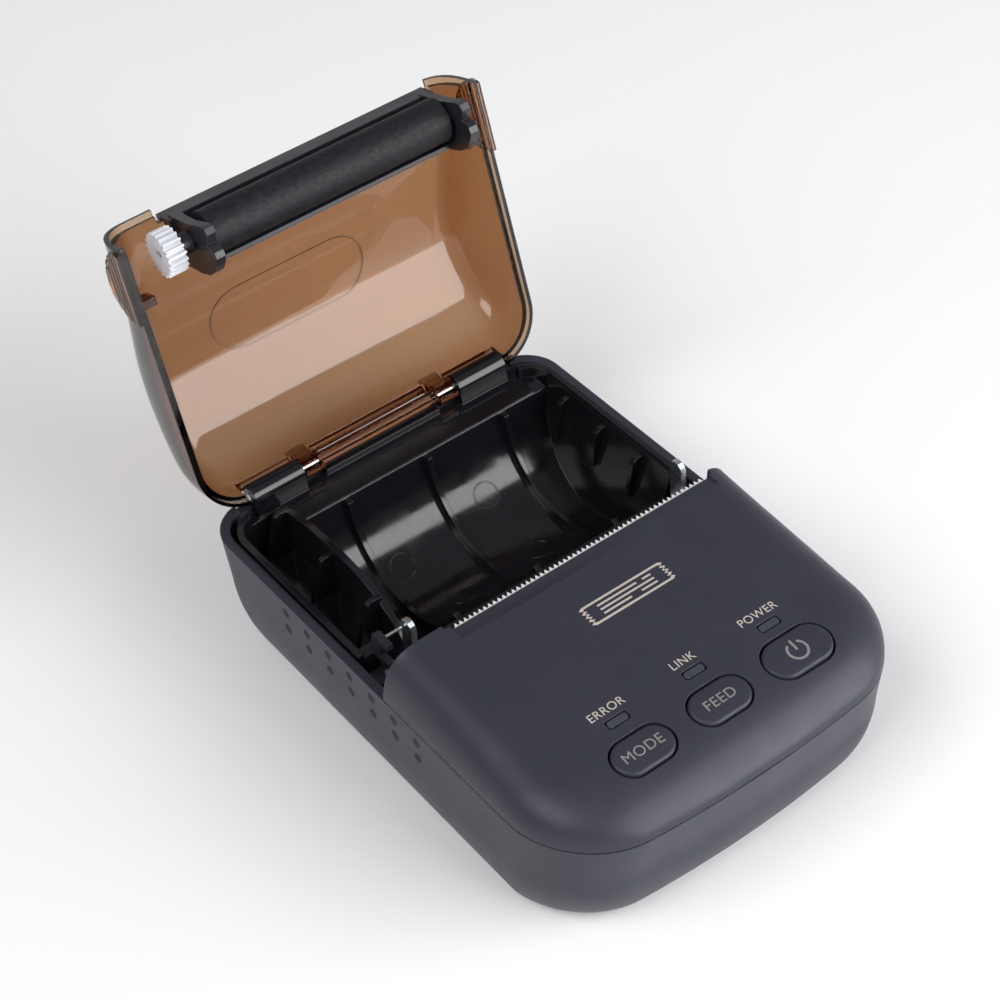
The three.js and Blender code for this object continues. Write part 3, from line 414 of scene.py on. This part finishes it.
# ------------------------------------------------------------ outer forms
def case_ring(z, thickness):
    """The case's outline at one height, pulled in by a wall thickness."""
    if z >= BELLY_Z:
        t = (PARTING_Z - min(z, PARTING_Z)) / (PARTING_Z - BELLY_Z)
        side, front, rear, rf, rr = 0, 2.2 * t, 1.6 * t, 17 - 1.4 * t, 9 + 0.5 * t
    else:
        turn = 1 - math.cos(math.asin(min(1, (BELLY_Z - z) / BELLY_Z)))
        side, front, rear, rf, rr = 4.2 * turn, 2.2 + 7.5 * turn, 1.6 + 8.8 * turn, 15.6 + 2.4 * turn, 9.5
    half = HALF_WIDTH - side - thickness
    low = FRONT_Y + front + thickness
    high = REAR_Y - rear - thickness
    rf, rr = rf - thickness, rr - thickness
    flat = arc(half - rr, high - rr, rr, 0, 90, 12) + arc(-half + rr, high - rr, rr, 90, 180, 12)
    flat += arc(-half + rf, low + rf, rf, 180, 270, 20)
    flat += [((half - rf) * t / 6, low) for t in range(-5, 6)]
    flat += arc(half - rf, low + rf, rf, 270, 360, 20)
    return [(x, y + front_bow(x, y), z) for x, y in flat]


def loft(rings):
    """A closed solid through rings of equal length, with flat ends."""
    n = len(rings[0])
    verts = [v for ring in rings for v in ring]
    faces = [tuple(range(n)), tuple(range(len(verts) - n, len(verts)))]
    for k in range(len(rings) - 1):
        for i in range(n):
            j = (i + 1) % n
            faces.append((k * n + i, k * n + j, (k + 1) * n + j, (k + 1) * n + i))
    return make_object("form", verts, faces)


def case_form(thickness, levels):
    return loft([[(x, y, z) for x, y, _ in case_ring(at, thickness)] for z, at in levels])


def pillow(direction, cut_y, lean, far, half, corner, base, top, side_draw, end_draw, power, steps):
    """A domed form on a flat base, from a straight cut edge to a far end with rounded corners."""
    turns = [90 * (i / 20) ** 0.9 for i in range(21)]
    levels = []
    for deg in turns:
        a = math.radians(deg)
        levels.append((1 - max(math.cos(a), 0) ** (2 / power), math.sin(a) ** (2 / power)))
    places = [("side", i / steps) for i in range(steps)]
    places += [("corner", math.radians(7.5 * i)) for i in range(13)]
    places += [("end", 0.35), ("end", 0.7)]
    across = 11

    def point(place, draw):
        kind, t = place
        guess = cut_y + (far - cut_y) * t if kind == "side" else far
        side = side_draw(guess) * draw
        end = end_draw * draw
        r = max(corner - (side + end) / 2, 2.2)
        cx = half - side - r
        cy = far - direction * (end + r)
        if kind == "side":
            return half - side, cut_y + (cy - cut_y) * t
        if kind == "corner":
            return cx + r * math.cos(t), cy + direction * r * math.sin(t)
        return cx * (1 - t), cy + direction * r

    stations = []
    for index, place in enumerate(places):
        left = []
        for draw, rise in levels:
            x, y = point(place, draw)
            y += front_bow(x, y)
            z = base + (top(x, y) - base) * rise
            if index == 0:
                y -= lean * (z - PARTING_Z)
            left.append((-x, y, z))
        lx, ly, _ = left[-1]
        middle = []
        for j in range(1, across + 1):
            x = lx * (1 - 2 * j / (across + 1))
            middle.append((x, ly, top(x, ly)))
        right = [(-x, y, z) for x, y, z in reversed(left)]
        stations.append(left + middle + right)
    v = len(stations[0])
    k = len(levels)
    last = (len(stations) - 1) * v
    faces = [tuple(range(v))]
    for i in range(len(stations) - 1):
        for j in range(v):
            a, b = i * v + j, i * v + (j + 1) % v
            faces.append((a, b, b + v, a + v))
    for j in range(k - 1):
        faces.append((last + j, last + j + 1, last + v - 2 - j, last + v - 1 - j))
    faces.append(tuple(range(last + k - 1, last + v - k + 1)))
    return make_object("form", [p for s in stations for p in s], faces)


def cover_form(skin):
    inner = skin > 0
    return pillow(-1, CUT_Y + 1.5 if inner else CUT_Y, 0.13, FRONT_Y + skin, HALF_WIDTH - skin, 17 - skin,
                  LOWER_EDGE_Z - (1 if inner else 0), lambda x, y: cover_top(x, y) - skin,
                  lambda y: straight([(-48, 13), (-25, 10.5), (-2, 7.8)], y), 11.5, 2.5, 22)


def lid_form(skin):
    inner = skin > 0
    return pillow(1, LID_CUT_Y - 2 if inner else LID_CUT_Y, 0.03, LID_REAR_Y - skin, HALF_WIDTH - skin,
                  11 - skin, LOWER_EDGE_Z - (1 if inner else 0), lambda x, y: lid_top(x, y) - skin,
                  lambda y: 7.2, 8.0, 2.9, 30)


def finish_piece(obj, name, mat, body, slot, *stands_for):
    """Names a piece, gives it its material and body, and lets it replace CAD nodes."""
    obj.name = name
    obj.data.name = name
    obj.data.materials.clear()
    obj.data.materials.append(mat)
    smooth(obj)
    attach(obj, body)
    if stands_for:
        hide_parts(*stands_for)
    return obj


# ------------------------------------------------------------ lower case
def lower_case(m):
    """The lower case with its battery bay, screw bosses, ports and side dimples."""
    levels = [BELLY_Z * (1 - math.cos(math.radians(a))) for a in range(0, 91, 6)]
    outside = case_form(0, [(z, z) for z in levels + [19, 23, 25.75, 26]])
    inside = case_form(WALL, [(z, z) for z in (WALL, 3.4, 5, 7, 9.5, 12, 15)] + [(27, 26)])
    case = cut(outside, inside)
    case = join(case, block(-31.2, 31.2, -50.2, -20.8, 1.5, 20.2))
    for i, (x, y) in enumerate(BOSSES):
        case = join(case, rod("z", BOSS_R, 1, 25.7 if i < 2 else 8.9, x, y, 24))
    tools = [rod("z", SCREW_HOLE_R, -1, 30, x, y, 20) for x, y in BOSSES]
    tools += [rod("z", SCREW_HEAD_R, -1, 1.9, x, y, 32) for x, y in BOSSES]
    tools += [rod("z", FOOT_R, -1, 0.8, x, y, 40) for x, y in FEET]
    tools += [block(-30.6, 30.6, -49.8, -21.2, -1, 1.9), block(-29.8, 29.8, -48.8, -22.2, -1, 18.8)]
    tools += [block(-34.6, -14.4, 56, 64, 25.1, 28), block(14.4, 34.6, 56, 64, 25.1, 28)]
    port = prism("x", [(u - 27.95, v + 18.75) for u, v in rounded(8.5, 4.9, 1.2)], 38, 44)
    tools += [port, rod("x", 3.6, 38, 44, -17.6, 16.2, 40)]
    for s in (-1, 1):
        for k in range(7):
            for z in DIMPLE_ROWS_Z:
                tools.append(dimple(s, DIMPLE_FIRST_Y - DIMPLE_PITCH * k, z))
    case = cut(case, *tools)
    return finish_piece(case, "lower_case", m["body"], "case", "body_plastic", "bottom_case")


def dimple(side, y, z):
    """A shallow spherical dent tool on a side wall."""
    bm = bmesh.new()
    bmesh.ops.create_uvsphere(bm, u_segments=24, v_segments=16, radius=1.36 * MM)
    centre = Vector(((HALF_WIDTH + 0.72) * side, y, z)) * MM
    bmesh.ops.translate(bm, vec=centre, verts=bm.verts)
    mesh = bpy.data.meshes.new("tool")
    bm.to_mesh(mesh)
    bm.free()
    obj = bpy.data.objects.new("tool", mesh)
    bpy.context.scene.collection.objects.link(obj)
    return obj


# ------------------------------------------------------------ cover
def on_cover(x, y):
    """Places something on the sloping control area, with its own +Z out of the surface."""
    return Matrix.Translation(Vector((x, y, cover_top(x, y))) * MM) @ Matrix.Rotation(KEY_TILT, 4, "X")


def top_cover(m):
    """The front cover with the tear bar's groove, key wells and lamp windows."""
    cover = cut(cover_form(0), cover_form(2.2))
    x0 = MECH_X - BLADE_HALF - 2
    x1 = MECH_X + BLADE_HALF + 1.6
    cover = join(cover, combine(block(x0, x1, -11.4, -3, 34.4, 38), "INTERSECT", [cover_form(0)]))
    hollow = [(-5.3, 37), (-5.3, 37.45), (-6.4, 37.42), (-7.4, 37.5), (-8.2, 37.72), (-8.8, 38.05),
              (-9.3, 38.5), (-9.6, 39.2), (-9.6, 45), (2, 45), (2, 37)]
    cover = cut(cover, prism("x", hollow, x0 + 1.2, x1 - 0.8), block(x0, x1, -4.9, 2, 30, 45),
                block(MECH_X - BLADE_HALF - 0.3, MECH_X + BLADE_HALF + 0.3, -10.9, 0, 36.2, 37.3))
    tools = [prism("z", stadium(w, h), -8, 8, on_cover(x, y)) for x, y, w, h in KEYS.values()]
    tools += [prism("z", rounded(5, 2.1, 0.6), -8, 8, on_cover(x, LAMP_Y)) for x in LAMP_X]
    cover = cut(cover, *tools)
    for s in (-1, 1):
        tongue = [(-4, 26.6), (0.5, 26.6), (0.5, 30.2), (-2.4, 32.5), (-4, 32.5)]
        cover = join(cover, prism("x", tongue, min(39.2 * s, 38.3 * s), max(39.2 * s, 38.3 * s)))
    return finish_piece(cover, "cover_shell", m["body"], "case", "body_plastic", "top_cover")


def key_cap(name, spec, m):
    """A key with a soft crowned top edge."""
    x, y, w, h = spec
    rings = []
    for inset, z in ((0.0, -4.2), (0.0, -0.35), (0.05, -0.12), (0.18, 0.08), (0.4, 0.19), (0.75, 0.25)):
        outline = stadium(w - 0.8 - 2 * inset, h - 0.8 - 2 * inset, 18)
        rings.append([(u, v, z) for u, v in outline])
    cap = loft(rings)
    cap = join(cap, prism("z", stadium(w + 0.7, h + 0.7), -5, -3.9), rod("z", 1.3, -8.6, -4.5, 0, 0, 20))
    cap.data.transform(on_cover(x, y))
    body = name + "_key"
    return finish_piece(cap, "cap_" + name, m["body"], body, "body_plastic", "key_" + name)


# ------------------------------------------------------------ printed legends
def lay_on_cover(mesh, x, y, lift):
    """Bends flat print, drawn round its own origin, onto the crowned cover."""
    for vert in mesh.vertices:
        u, v, w = vert.co / MM
        vert.co = Vector((x + u, y + v, cover_top(x + u, y + v) + lift + w)) * MM


def lettering(name, text, height, mat, body, lift, matrix=None, at=None):
    """Thin printed letters, laid on the cover at a place or set out on a key's own plane."""
    curve = bpy.data.curves.new(name, "FONT")
    curve.body = text
    curve.size = height * MM
    curve.align_x = "CENTER"
    curve.align_y = "CENTER"
    curve.extrude = 0.006 * MM
    curve.space_character = 1.06
    curve.offset = 0.000004
    holder = bpy.data.objects.new("text", curve)
    bpy.context.scene.collection.objects.link(holder)
    mesh = bpy.data.meshes.new_from_object(holder.evaluated_get(bpy.context.evaluated_depsgraph_get()))
    bpy.data.objects.remove(holder)
    if at:
        lay_on_cover(mesh, *at, lift)
    else:
        mesh.transform(matrix @ Matrix.Translation((0, 0, lift * MM)))
    obj = bpy.data.objects.new(name, mesh)
    bpy.context.scene.collection.objects.link(obj)
    return printed(obj, name, mat, body)


def printed(obj, name, mat, body):
    """Gives print its material and lets it ride on a body."""
    obj.name = name
    obj.data.materials.clear()
    obj.data.materials.append(mat)
    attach(obj, body)
    return obj


def flat_print(name, outlines, mat, body, lift, matrix=None, at=None):
    """Thin printed shapes from closed outlines, each a solid patch."""
    verts, faces = [], []
    for outline in outlines:
        n = len(outline)
        start = len(verts)
        verts += [(u, v, -0.006) for u, v in outline] + [(u, v, 0.006) for u, v in outline]
        faces += [tuple(range(start, start + n)), tuple(range(start + n, start + 2 * n))]
        faces += [(start + i, start + (i + 1) % n, start + n + (i + 1) % n, start + n + i) for i in range(n)]
    obj = make_object(name, verts, faces)
    if at:
        lay_on_cover(obj.data, *at, lift)
    else:
        obj.data.transform(matrix @ Matrix.Translation((0, 0, lift * MM)))
    return printed(obj, name, mat, body)


def ring_patch(r0, r1, start, end, steps=40):
    return arc(0, 0, r1, start, end, steps) + arc(0, 0, r0, end, start, steps)


def bar_patch(x0, x1, y0, y1):
    return [(x0, y0), (x1, y0), (x1, y1), (x0, y1)]


def legends(m):
    for name, text in (("mode", "MODE"), ("feed", "FEED")):
        x, y, _, _ = KEYS[name]
        lettering("legend_" + name, text, 3.1, m["faint"], name + "_key", 0.262, on_cover(x, y))
    x, y, _, _ = KEYS["power"]
    standby = [ring_patch(1.75, 2.25, 122, 418), bar_patch(-0.25, 0.25, 0.1, 2.5)]
    flat_print("legend_standby", standby, m["faint"], "power_key", 0.262, on_cover(x, y))
    for x, text in zip(LAMP_X, ("ERROR", "LINK", "POWER")):
        lettering("legend_" + text.lower(), text, 2.5, m["ink"], "case", 0.035, at=(x - 0.3, LAMP_Y + 2.9))
    pictogram(m)


def pictogram(m):
    """A plain receipt sign: a strip of paper with torn ends and three lines of print."""
    teeth = 5
    right = [(9.2 + (0.8 if i % 2 else 0), -2.5 + 5 * i / (2 * teeth)) for i in range(2 * teeth + 1)]
    left = [(-9.2 - (0.8 if i % 2 else 0), 2.5 - 5 * i / (2 * teeth)) for i in range(2 * teeth + 1)]
    outline = right + left
    inner = [(x * 0.94, y * 0.8) for x, y in outline]
    n = len(outline)
    patches = [[outline[i], outline[(i + 1) % n], inner[(i + 1) % n], inner[i]] for i in range(n)]
    patches += [bar_patch(-6.4, 3.0, 0.85, 1.3), bar_patch(-6.4, 6.4, -0.22, 0.22),
                bar_patch(-6.4, 0.2, -1.3, -0.85), bar_patch(4.4, 6.4, 0.85, 1.3),
                bar_patch(2.6, 6.4, -1.3, -0.85)]
    flat_print("receipt_sign", patches, m["ink"], "case", 0.04, at=(3.1, -19.5))


# ------------------------------------------------------------ inner tub
def cradle_band(inner, outer, start, end, x0, x1, steps=48):
    """A stretch of the round trough that the roll lies in."""
    cy, cz, _ = CRADLE
    return prism("x", arc(cy, cz, outer, start, end, steps) + arc(cy, cz, inner, end, start, steps), x0, x1)


def tub_skirt(t, z0, z1):
    """The tub's outer outline as a solid, pulled in by t."""
    half = HALF_WIDTH - WALL - 0.3 - t
    rear = 56.6 - t
    r = 9.5 - WALL - 0.3 - t
    outline = ([(half, 9)] + arc(half - r, rear - r, r, 0, 90, 14)
               + arc(-half + r, rear - r, r, 90, 180, 14) + [(-half, 9)])
    return prism("z", outline, z0, z1)


def rounded_fin(left):
    """Outline of a stiffening fin beside the trough, at its left or right end."""
    if left:
        tip = arc(-28.6, 24.6, 1.7, 100, 172, 8)
        return [(-26.6, 15), (-26.6, 26.2)] + tip + [(-33.4, 15)]
    tip = arc(37, 23.4, 1.8, 100, 172, 8)
    return [(36, 16), (38.9, 24.4), (38.9, 25.3)] + tip + [(34.4, 20), (33.9, 16)]


def paper_tub(m):
    """The inner tub: skirt, trough, end walls, rear ramp, ribs, fins and hinge barrels."""
    cy, cz, r = CRADLE
    tub = cut(tub_skirt(0, 15.4, 27), tub_skirt(1.3, 14, 28), block(-36.5, 36.5, 8, 9.6, 14, 28),
              block(-34.2, 34.2, 55, 60, 24.4, 30))
    beyond = prism("y", [(33, 0), (60, 0), (60, 30), (40.4, 30), (39.3, 24.6)], -10, 80)
    cradle = cut(cradle_band(r, r + 1.5, 197, 350, TUB_LEFT - 0.6, 39), beyond)
    reach = join(rod("x", r + 1.4, 20, 45, cy, cz, 64), block(20, 45, 9.6, 50.4, 17, 30))
    end_wall = combine(prism("y", [(31.6, 4), (33, 4), (39.3, 24.6), (39.3, 26.4), (38, 26.4)], 9.6, 50.4),
                       "INTERSECT", [reach])
    ramp = [(49.1, 22.3), (49.4, 23.6), (49.55, 24.1), (49.9, 24.4), (51, 24.5), (57.8, 25),
            (57.8, 23.6), (51.4, 22.8), (50.4, 20.6)]
    ramp_end = [(49.1, 22.3), (49.5, 24), (50.2, 24.4), (55, 24.4), (55, 23), (50.4, 20.6)]
    wall_top = [(11.5, 18.6), (15, 22), (21, 25.4), (28, 27.2), (36, 27.8), (44, 27.4), (51, 26.2),
                (55, 24.8)]
    crest = [(11.5, 14.2), (11.5, 18.6)]
    for k in range(17):
        y = 12.5 + 42.5 * k / 16
        crest.append((y, curve_at(wall_top, y)))
    crest += [(56.8, 23.6), (56.8, 14.2)]
    tub = join(tub, block(-39, TUB_LEFT - 0.5, 9.6, 52, 14, 15.6), cradle, end_wall,
               block(-14.4, 14.4, 56.8, 58.3, 24.4, 26.3), prism("x", ramp, TUB_LEFT - 0.6, 34),
               prism("x", ramp_end, 33, 37),
               prism("x", crest, TUB_LEFT - 1.4, TUB_LEFT), block(-39.3, -35, 9.2, 12, 21, 25.6))
    tub = join(tub, *[cradle_band(r - 1.8, r + 0.5, 200, 354, x - 0.6, x + 0.6) for x in (-15, 5, 25)])
    tub = join(tub, *[prism("y", rounded_fin(True), y - 0.6, y + 0.6) for y in (20.5, 36.5, 53)])
    tub = join(tub, *[prism("y", rounded_fin(False), y - 0.6, y + 0.6) for y in (19, 31, 43)])
    for s in (-1, 1):
        x0, x1 = sorted((31.7 * s, 19.6 * s))
        arm = [(55.9, 20), (57.4, 21), (57.9, 25.4), (58.6, 27), (56.4, 28), (55.9, 26)]
        tub = join(tub, rod("x", 2.6, x0, x1, HINGE_Y, HINGE_Z, 48), prism("x", arm, x0, x1))
        tub = cut(tub, rod("x", HINGE_BORE_R, x0 - 1, x1 + 1, HINGE_Y, HINGE_Z, 24))
    rings = [moulding_ring(x, a) for x, a in ((-9.5, 300), (14.8, 312), (-4, 262), (16, 262))]
    tub = join(tub, *rings)
    return finish_piece(tub, "roll_tub", m["tub"], "case", "tub_plastic", "paper_tub")


def moulding_ring(x, angle):
    """A faint raised circle that an ejector pin leaves on the cradle."""
    cy, cz, r = CRADLE
    a = math.radians(angle)
    outline = arc(0, 0, 2.9, 0, 345, 23)
    hole = arc(0, 0, 2.65, 0, 345, 23)
    n = len(outline)
    verts = []
    for depth in (-0.3, 0.08):
        for u, v in outline + hole:
            turn = a + v / r
            verts.append((x + u, cy + (r - depth) * math.cos(turn), cz + (r - depth) * math.sin(turn)))
    return make_object("tool", verts, ring_faces(n))


# ------------------------------------------------------------ lid
def grip_pad(s):
    """A ribbed pad on the side of the lid, to open it by."""
    outline = [(-1.4, 26.4), (-1.9, 28), (-1.8, 29.4), (-0.6, 31.2), (1.2, 32.9), (3.4, 34.1), (5.8, 34.6),
               (8.2, 34.5), (10.2, 33.4), (11.9, 31.6), (13, 29.6), (13.6, 27.6), (13.6, 26.4)]
    x0, x1 = sorted(((HALF_WIDTH - 1.2) * s, (HALF_WIDTH + 0.8) * s))
    pad = prism("x", outline, x0, x1)
    tools = []
    for k in range(5):
        z = 27.6 + 1.35 * k
        a, b = sorted(((HALF_WIDTH + 0.3) * s, (HALF_WIDTH + 1) * s))
        tools.append(block(a, b, -4, 15, z, z + 0.5))
    return cut(pad, *tools)


def lid_shell(m):
    """The see-through lid, made closed and then swung open."""
    shell = join(lid_form(0), grip_pad(-1), grip_pad(1))
    shell = cut(shell, lid_form(1.8), block(MECH_X - 32.7, MECH_X + 32.7, -6, 0.5, 33, 50),
                block(-32.8, 32.8, 54, 64, 20, 31.6))
    for s in (-1, 1):
        x0 = -19.2 if s < 0 else 14.8
        web = [(57.2, 29.6), (58.6, 27.9), (60.2, 29.6), (59.3, 33.4), (57.6, 34.2), (56.4, 33)]
        shell = join(shell, prism("x", web, x0, x0 + 4.4), rod("x", 2.4, x0, x0 + 4.4, HINGE_Y, HINGE_Z, 40))
    shell = join(shell, rod("x", 1.5, -15.2, 15.2, HINGE_Y, HINGE_Z, 28))
    bores = [rod("x", HINGE_BORE_R, x, x + 5, HINGE_Y, HINGE_Z, 20) for x in (-20, 15)]
    shell = cut(shell, *bores)
    for s in (-1, 1):
        x0, x1 = sorted((40.6 * s, 37.4 * s))
        shell = join(shell, prism("x", [(9.6, 27.3), (11.3, 27.3), (12.4, 31), (9.6, 31)], x0, x1))
    step = combine(lid_form(0.8), "INTERSECT", [block(-60, 60, -10, 70, 20, 27.5)])
    brow = combine(lid_form(0.8), "INTERSECT", [block(-60, 60, -10, -1, 29, 50)])
    shell = cut(shell, window_line(), step, brow)
    shell.data.transform(lid_open_matrix())
    return finish_piece(shell, "smoked_lid", m["smoke"], "lid", "smoke_plastic", "lid_shell")


def window_line():
    """The groove of a long oval engraved on top of the lid."""
    outline = [(x - 3, y + 29.5) for x, y in stadium(38, 15, 20)]
    inner = [(x - 3, y + 29.5) for x, y in stadium(37.3, 14.3, 20)]
    n = len(outline)
    low = [(x, y, lid_top(x, y) - 0.45) for x, y in outline + inner]
    high = [(x, y, lid_top(x, y) + 0.6) for x, y in outline + inner]
    return make_object("tool", low + high, ring_faces(n))


# ------------------------------------------------------------ small hardware
def paint_screw_recess_shade(m):
    """Painted shade of the cross recesses in the four case screws: thin flat near-black crosses, not hollows.
    """
    for i, (x, y) in enumerate(BOSSES):
        arms = join(block(x - 1.3, x + 1.3, y - 0.22, y + 0.22, 0.24, 0.34),
                    block(x - 0.22, x + 0.22, y - 1.3, y + 1.3, 0.24, 0.34))
        finish_piece(arms, "screw_shade_cross_%d" % i, m["dark"], "case", "black_plastic")


def gear_hub(m):
    """The moulded ring that closes the platen gear's bore down to the end of the shaft."""
    hub = cut(rod("x", 1.66, -34.12, -33.5, PLATEN_Y, PLATEN_Z, 40),
              rod("x", 1.1, -36, -33, PLATEN_Y, PLATEN_Z, 32))
    web = cut(rod("x", 3.2, -34.16, -34.02, PLATEN_Y, PLATEN_Z, 48),
              rod("x", 1.72, -36, -33, PLATEN_Y, PLATEN_Z, 40))
    hub = join(hub, web)
    hub.data.transform(lid_open_matrix())
    finish_piece(hub, "gear_hub", m["gear"], "platen", "gear_plastic")
    # Painted shade: a thin near-black disc on the end of the shaft, so that the hub's bore reads dark.
    end = rod("x", 1.3, -33.24, -33.21, PLATEN_Y, PLATEN_Z, 32)
    end.data.transform(lid_open_matrix())
    finish_piece(end, "bore_shade_disc", m["dark"], "platen", "steel")


def shells(m):
    lower_case(m)
    top_cover(m)
    for name, spec in KEYS.items():
        key_cap(name, spec, m)
    paper_tub(m)
    lid_shell(m)


CAD_FINISH = {
    "body": ["battery_door"],
    "blade": ["tear_bar"],
    "steel": ["platen_shaft", "hinge_pin_left", "hinge_pin_right", "guard_rod", "head_spring",
              "data_port", "screw_front_left", "screw_front_right", "screw_rear_left", "screw_rear_right"],
    "zinc": ["print_frame", "stepper_motor", "radio_module"],
    "alloy": ["print_head"],
    "ceramic": ["heater_strip"],
    "film": ["head_ribbon"],
    "brass": ["motor_pinion"],
    "gear": ["platen_gear", "drive_gear", "reduction_gear"],
    "black": ["lid_carrier", "bushing_left", "bushing_right", "paper_sensor", "guard_arm", "buzzer",
              "battery_contacts", "charge_jack", "switch_mode", "switch_feed", "switch_power"],
    "board": ["main_board"],
    "wrap": ["battery_pack"],
    "lens": ["lamp_error", "lamp_link", "lamp_power"],
    "rubber": ["platen_rubber"],
    "feet": ["foot_front_left", "foot_front_right", "foot_rear_left", "foot_rear_right"],
}


def dress_frame(m):
    """Materials for the CAD nodes that no finer shape replaces."""
    for finish, names in CAD_FINISH.items():
        for name in names:
            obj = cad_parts[name]
            obj.data.materials.clear()
            obj.data.materials.append(m[finish])
            smooth(obj)


# ------------------------------------------------------------ studio
def studio(m):
    """A pale floor, a dim sky that is lighter at the horizon, and two soft lights."""
    floor = make_object("floor", [(-3000, -3000, 0), (3000, -3000, 0), (3000, 3000, 0), (-3000, 3000, 0)],
                        [(0, 1, 2, 3)])
    floor.data.materials.append(m["floor"])
    world = bpy.data.worlds.new("studio")
    bpy.context.scene.world = world
    world.use_nodes = True
    tree = world.node_tree
    tree.nodes["Background"].inputs["Strength"].default_value = 1.0
    coords = node(tree, "ShaderNodeTexCoord")
    split = node(tree, "ShaderNodeSeparateXYZ")
    ramp = node(tree, "ShaderNodeValToRGB")
    ramp.color_ramp.elements[0].position = 0.1
    ramp.color_ramp.elements[0].color = (0.6, 0.6, 0.62, 1)
    ramp.color_ramp.elements[1].position = 0.5
    ramp.color_ramp.elements[1].color = (0.26, 0.265, 0.28, 1)
    link(tree, coords, "Generated", split, "Vector")
    link(tree, split, "Z", ramp, "Fac")
    link(tree, ramp, "Color", tree.nodes["Background"], "Color")
    soft_light("left", (-1.0, -0.1, 1.25), (0, 0, 0), 1.1, 0.9, 15)
    soft_light("front", (0.5, -0.87, 0.43), (0, 0, 0.06), 1.1, 0.95, 19)
    bpy.context.scene.view_settings.view_transform = "Standard"


def soft_light(name, at, aim, wide, high, watts):
    lamp = bpy.data.lights.new(name, "AREA")
    lamp.shape = "RECTANGLE"
    lamp.size = wide
    lamp.size_y = high
    lamp.energy = watts
    obj = bpy.data.objects.new(name, lamp)
    obj.matrix_world = aimed(Vector(at), Vector(aim) - Vector(at), Vector((0, 0, 1)))
    bpy.context.scene.collection.objects.link(obj)


def aimed(at, forward, up):
    """The matrix of a lamp or camera that looks forward from a place."""
    z = -forward.normalized()
    x = up.cross(z).normalized()
    y = z.cross(x)
    turn = Matrix((x, y, z)).transposed().to_4x4()
    return Matrix.Translation(at) @ turn


def camera():
    cam = bpy.data.cameras.new("camera")
    cam.lens = 87.967
    cam.sensor_width = 36
    obj = bpy.data.objects.new("camera", cam)
    at = Vector((-0.19108, -0.27045, 0.36485))
    obj.matrix_world = aimed(at, Vector((0.40298, 0.60324, -0.68826)), Vector((0.45511, 0.52036, 0.72256)))
    bpy.context.scene.collection.objects.link(obj)
    bpy.context.scene.camera = obj


camera()
MATERIALS = make_materials()
shells(MATERIALS)
legends(MATERIALS)
paint_screw_recess_shade(MATERIALS)
gear_hub(MATERIALS)
dress_frame(MATERIALS)
studio(MATERIALS)
bpy.context.view_layer.update()
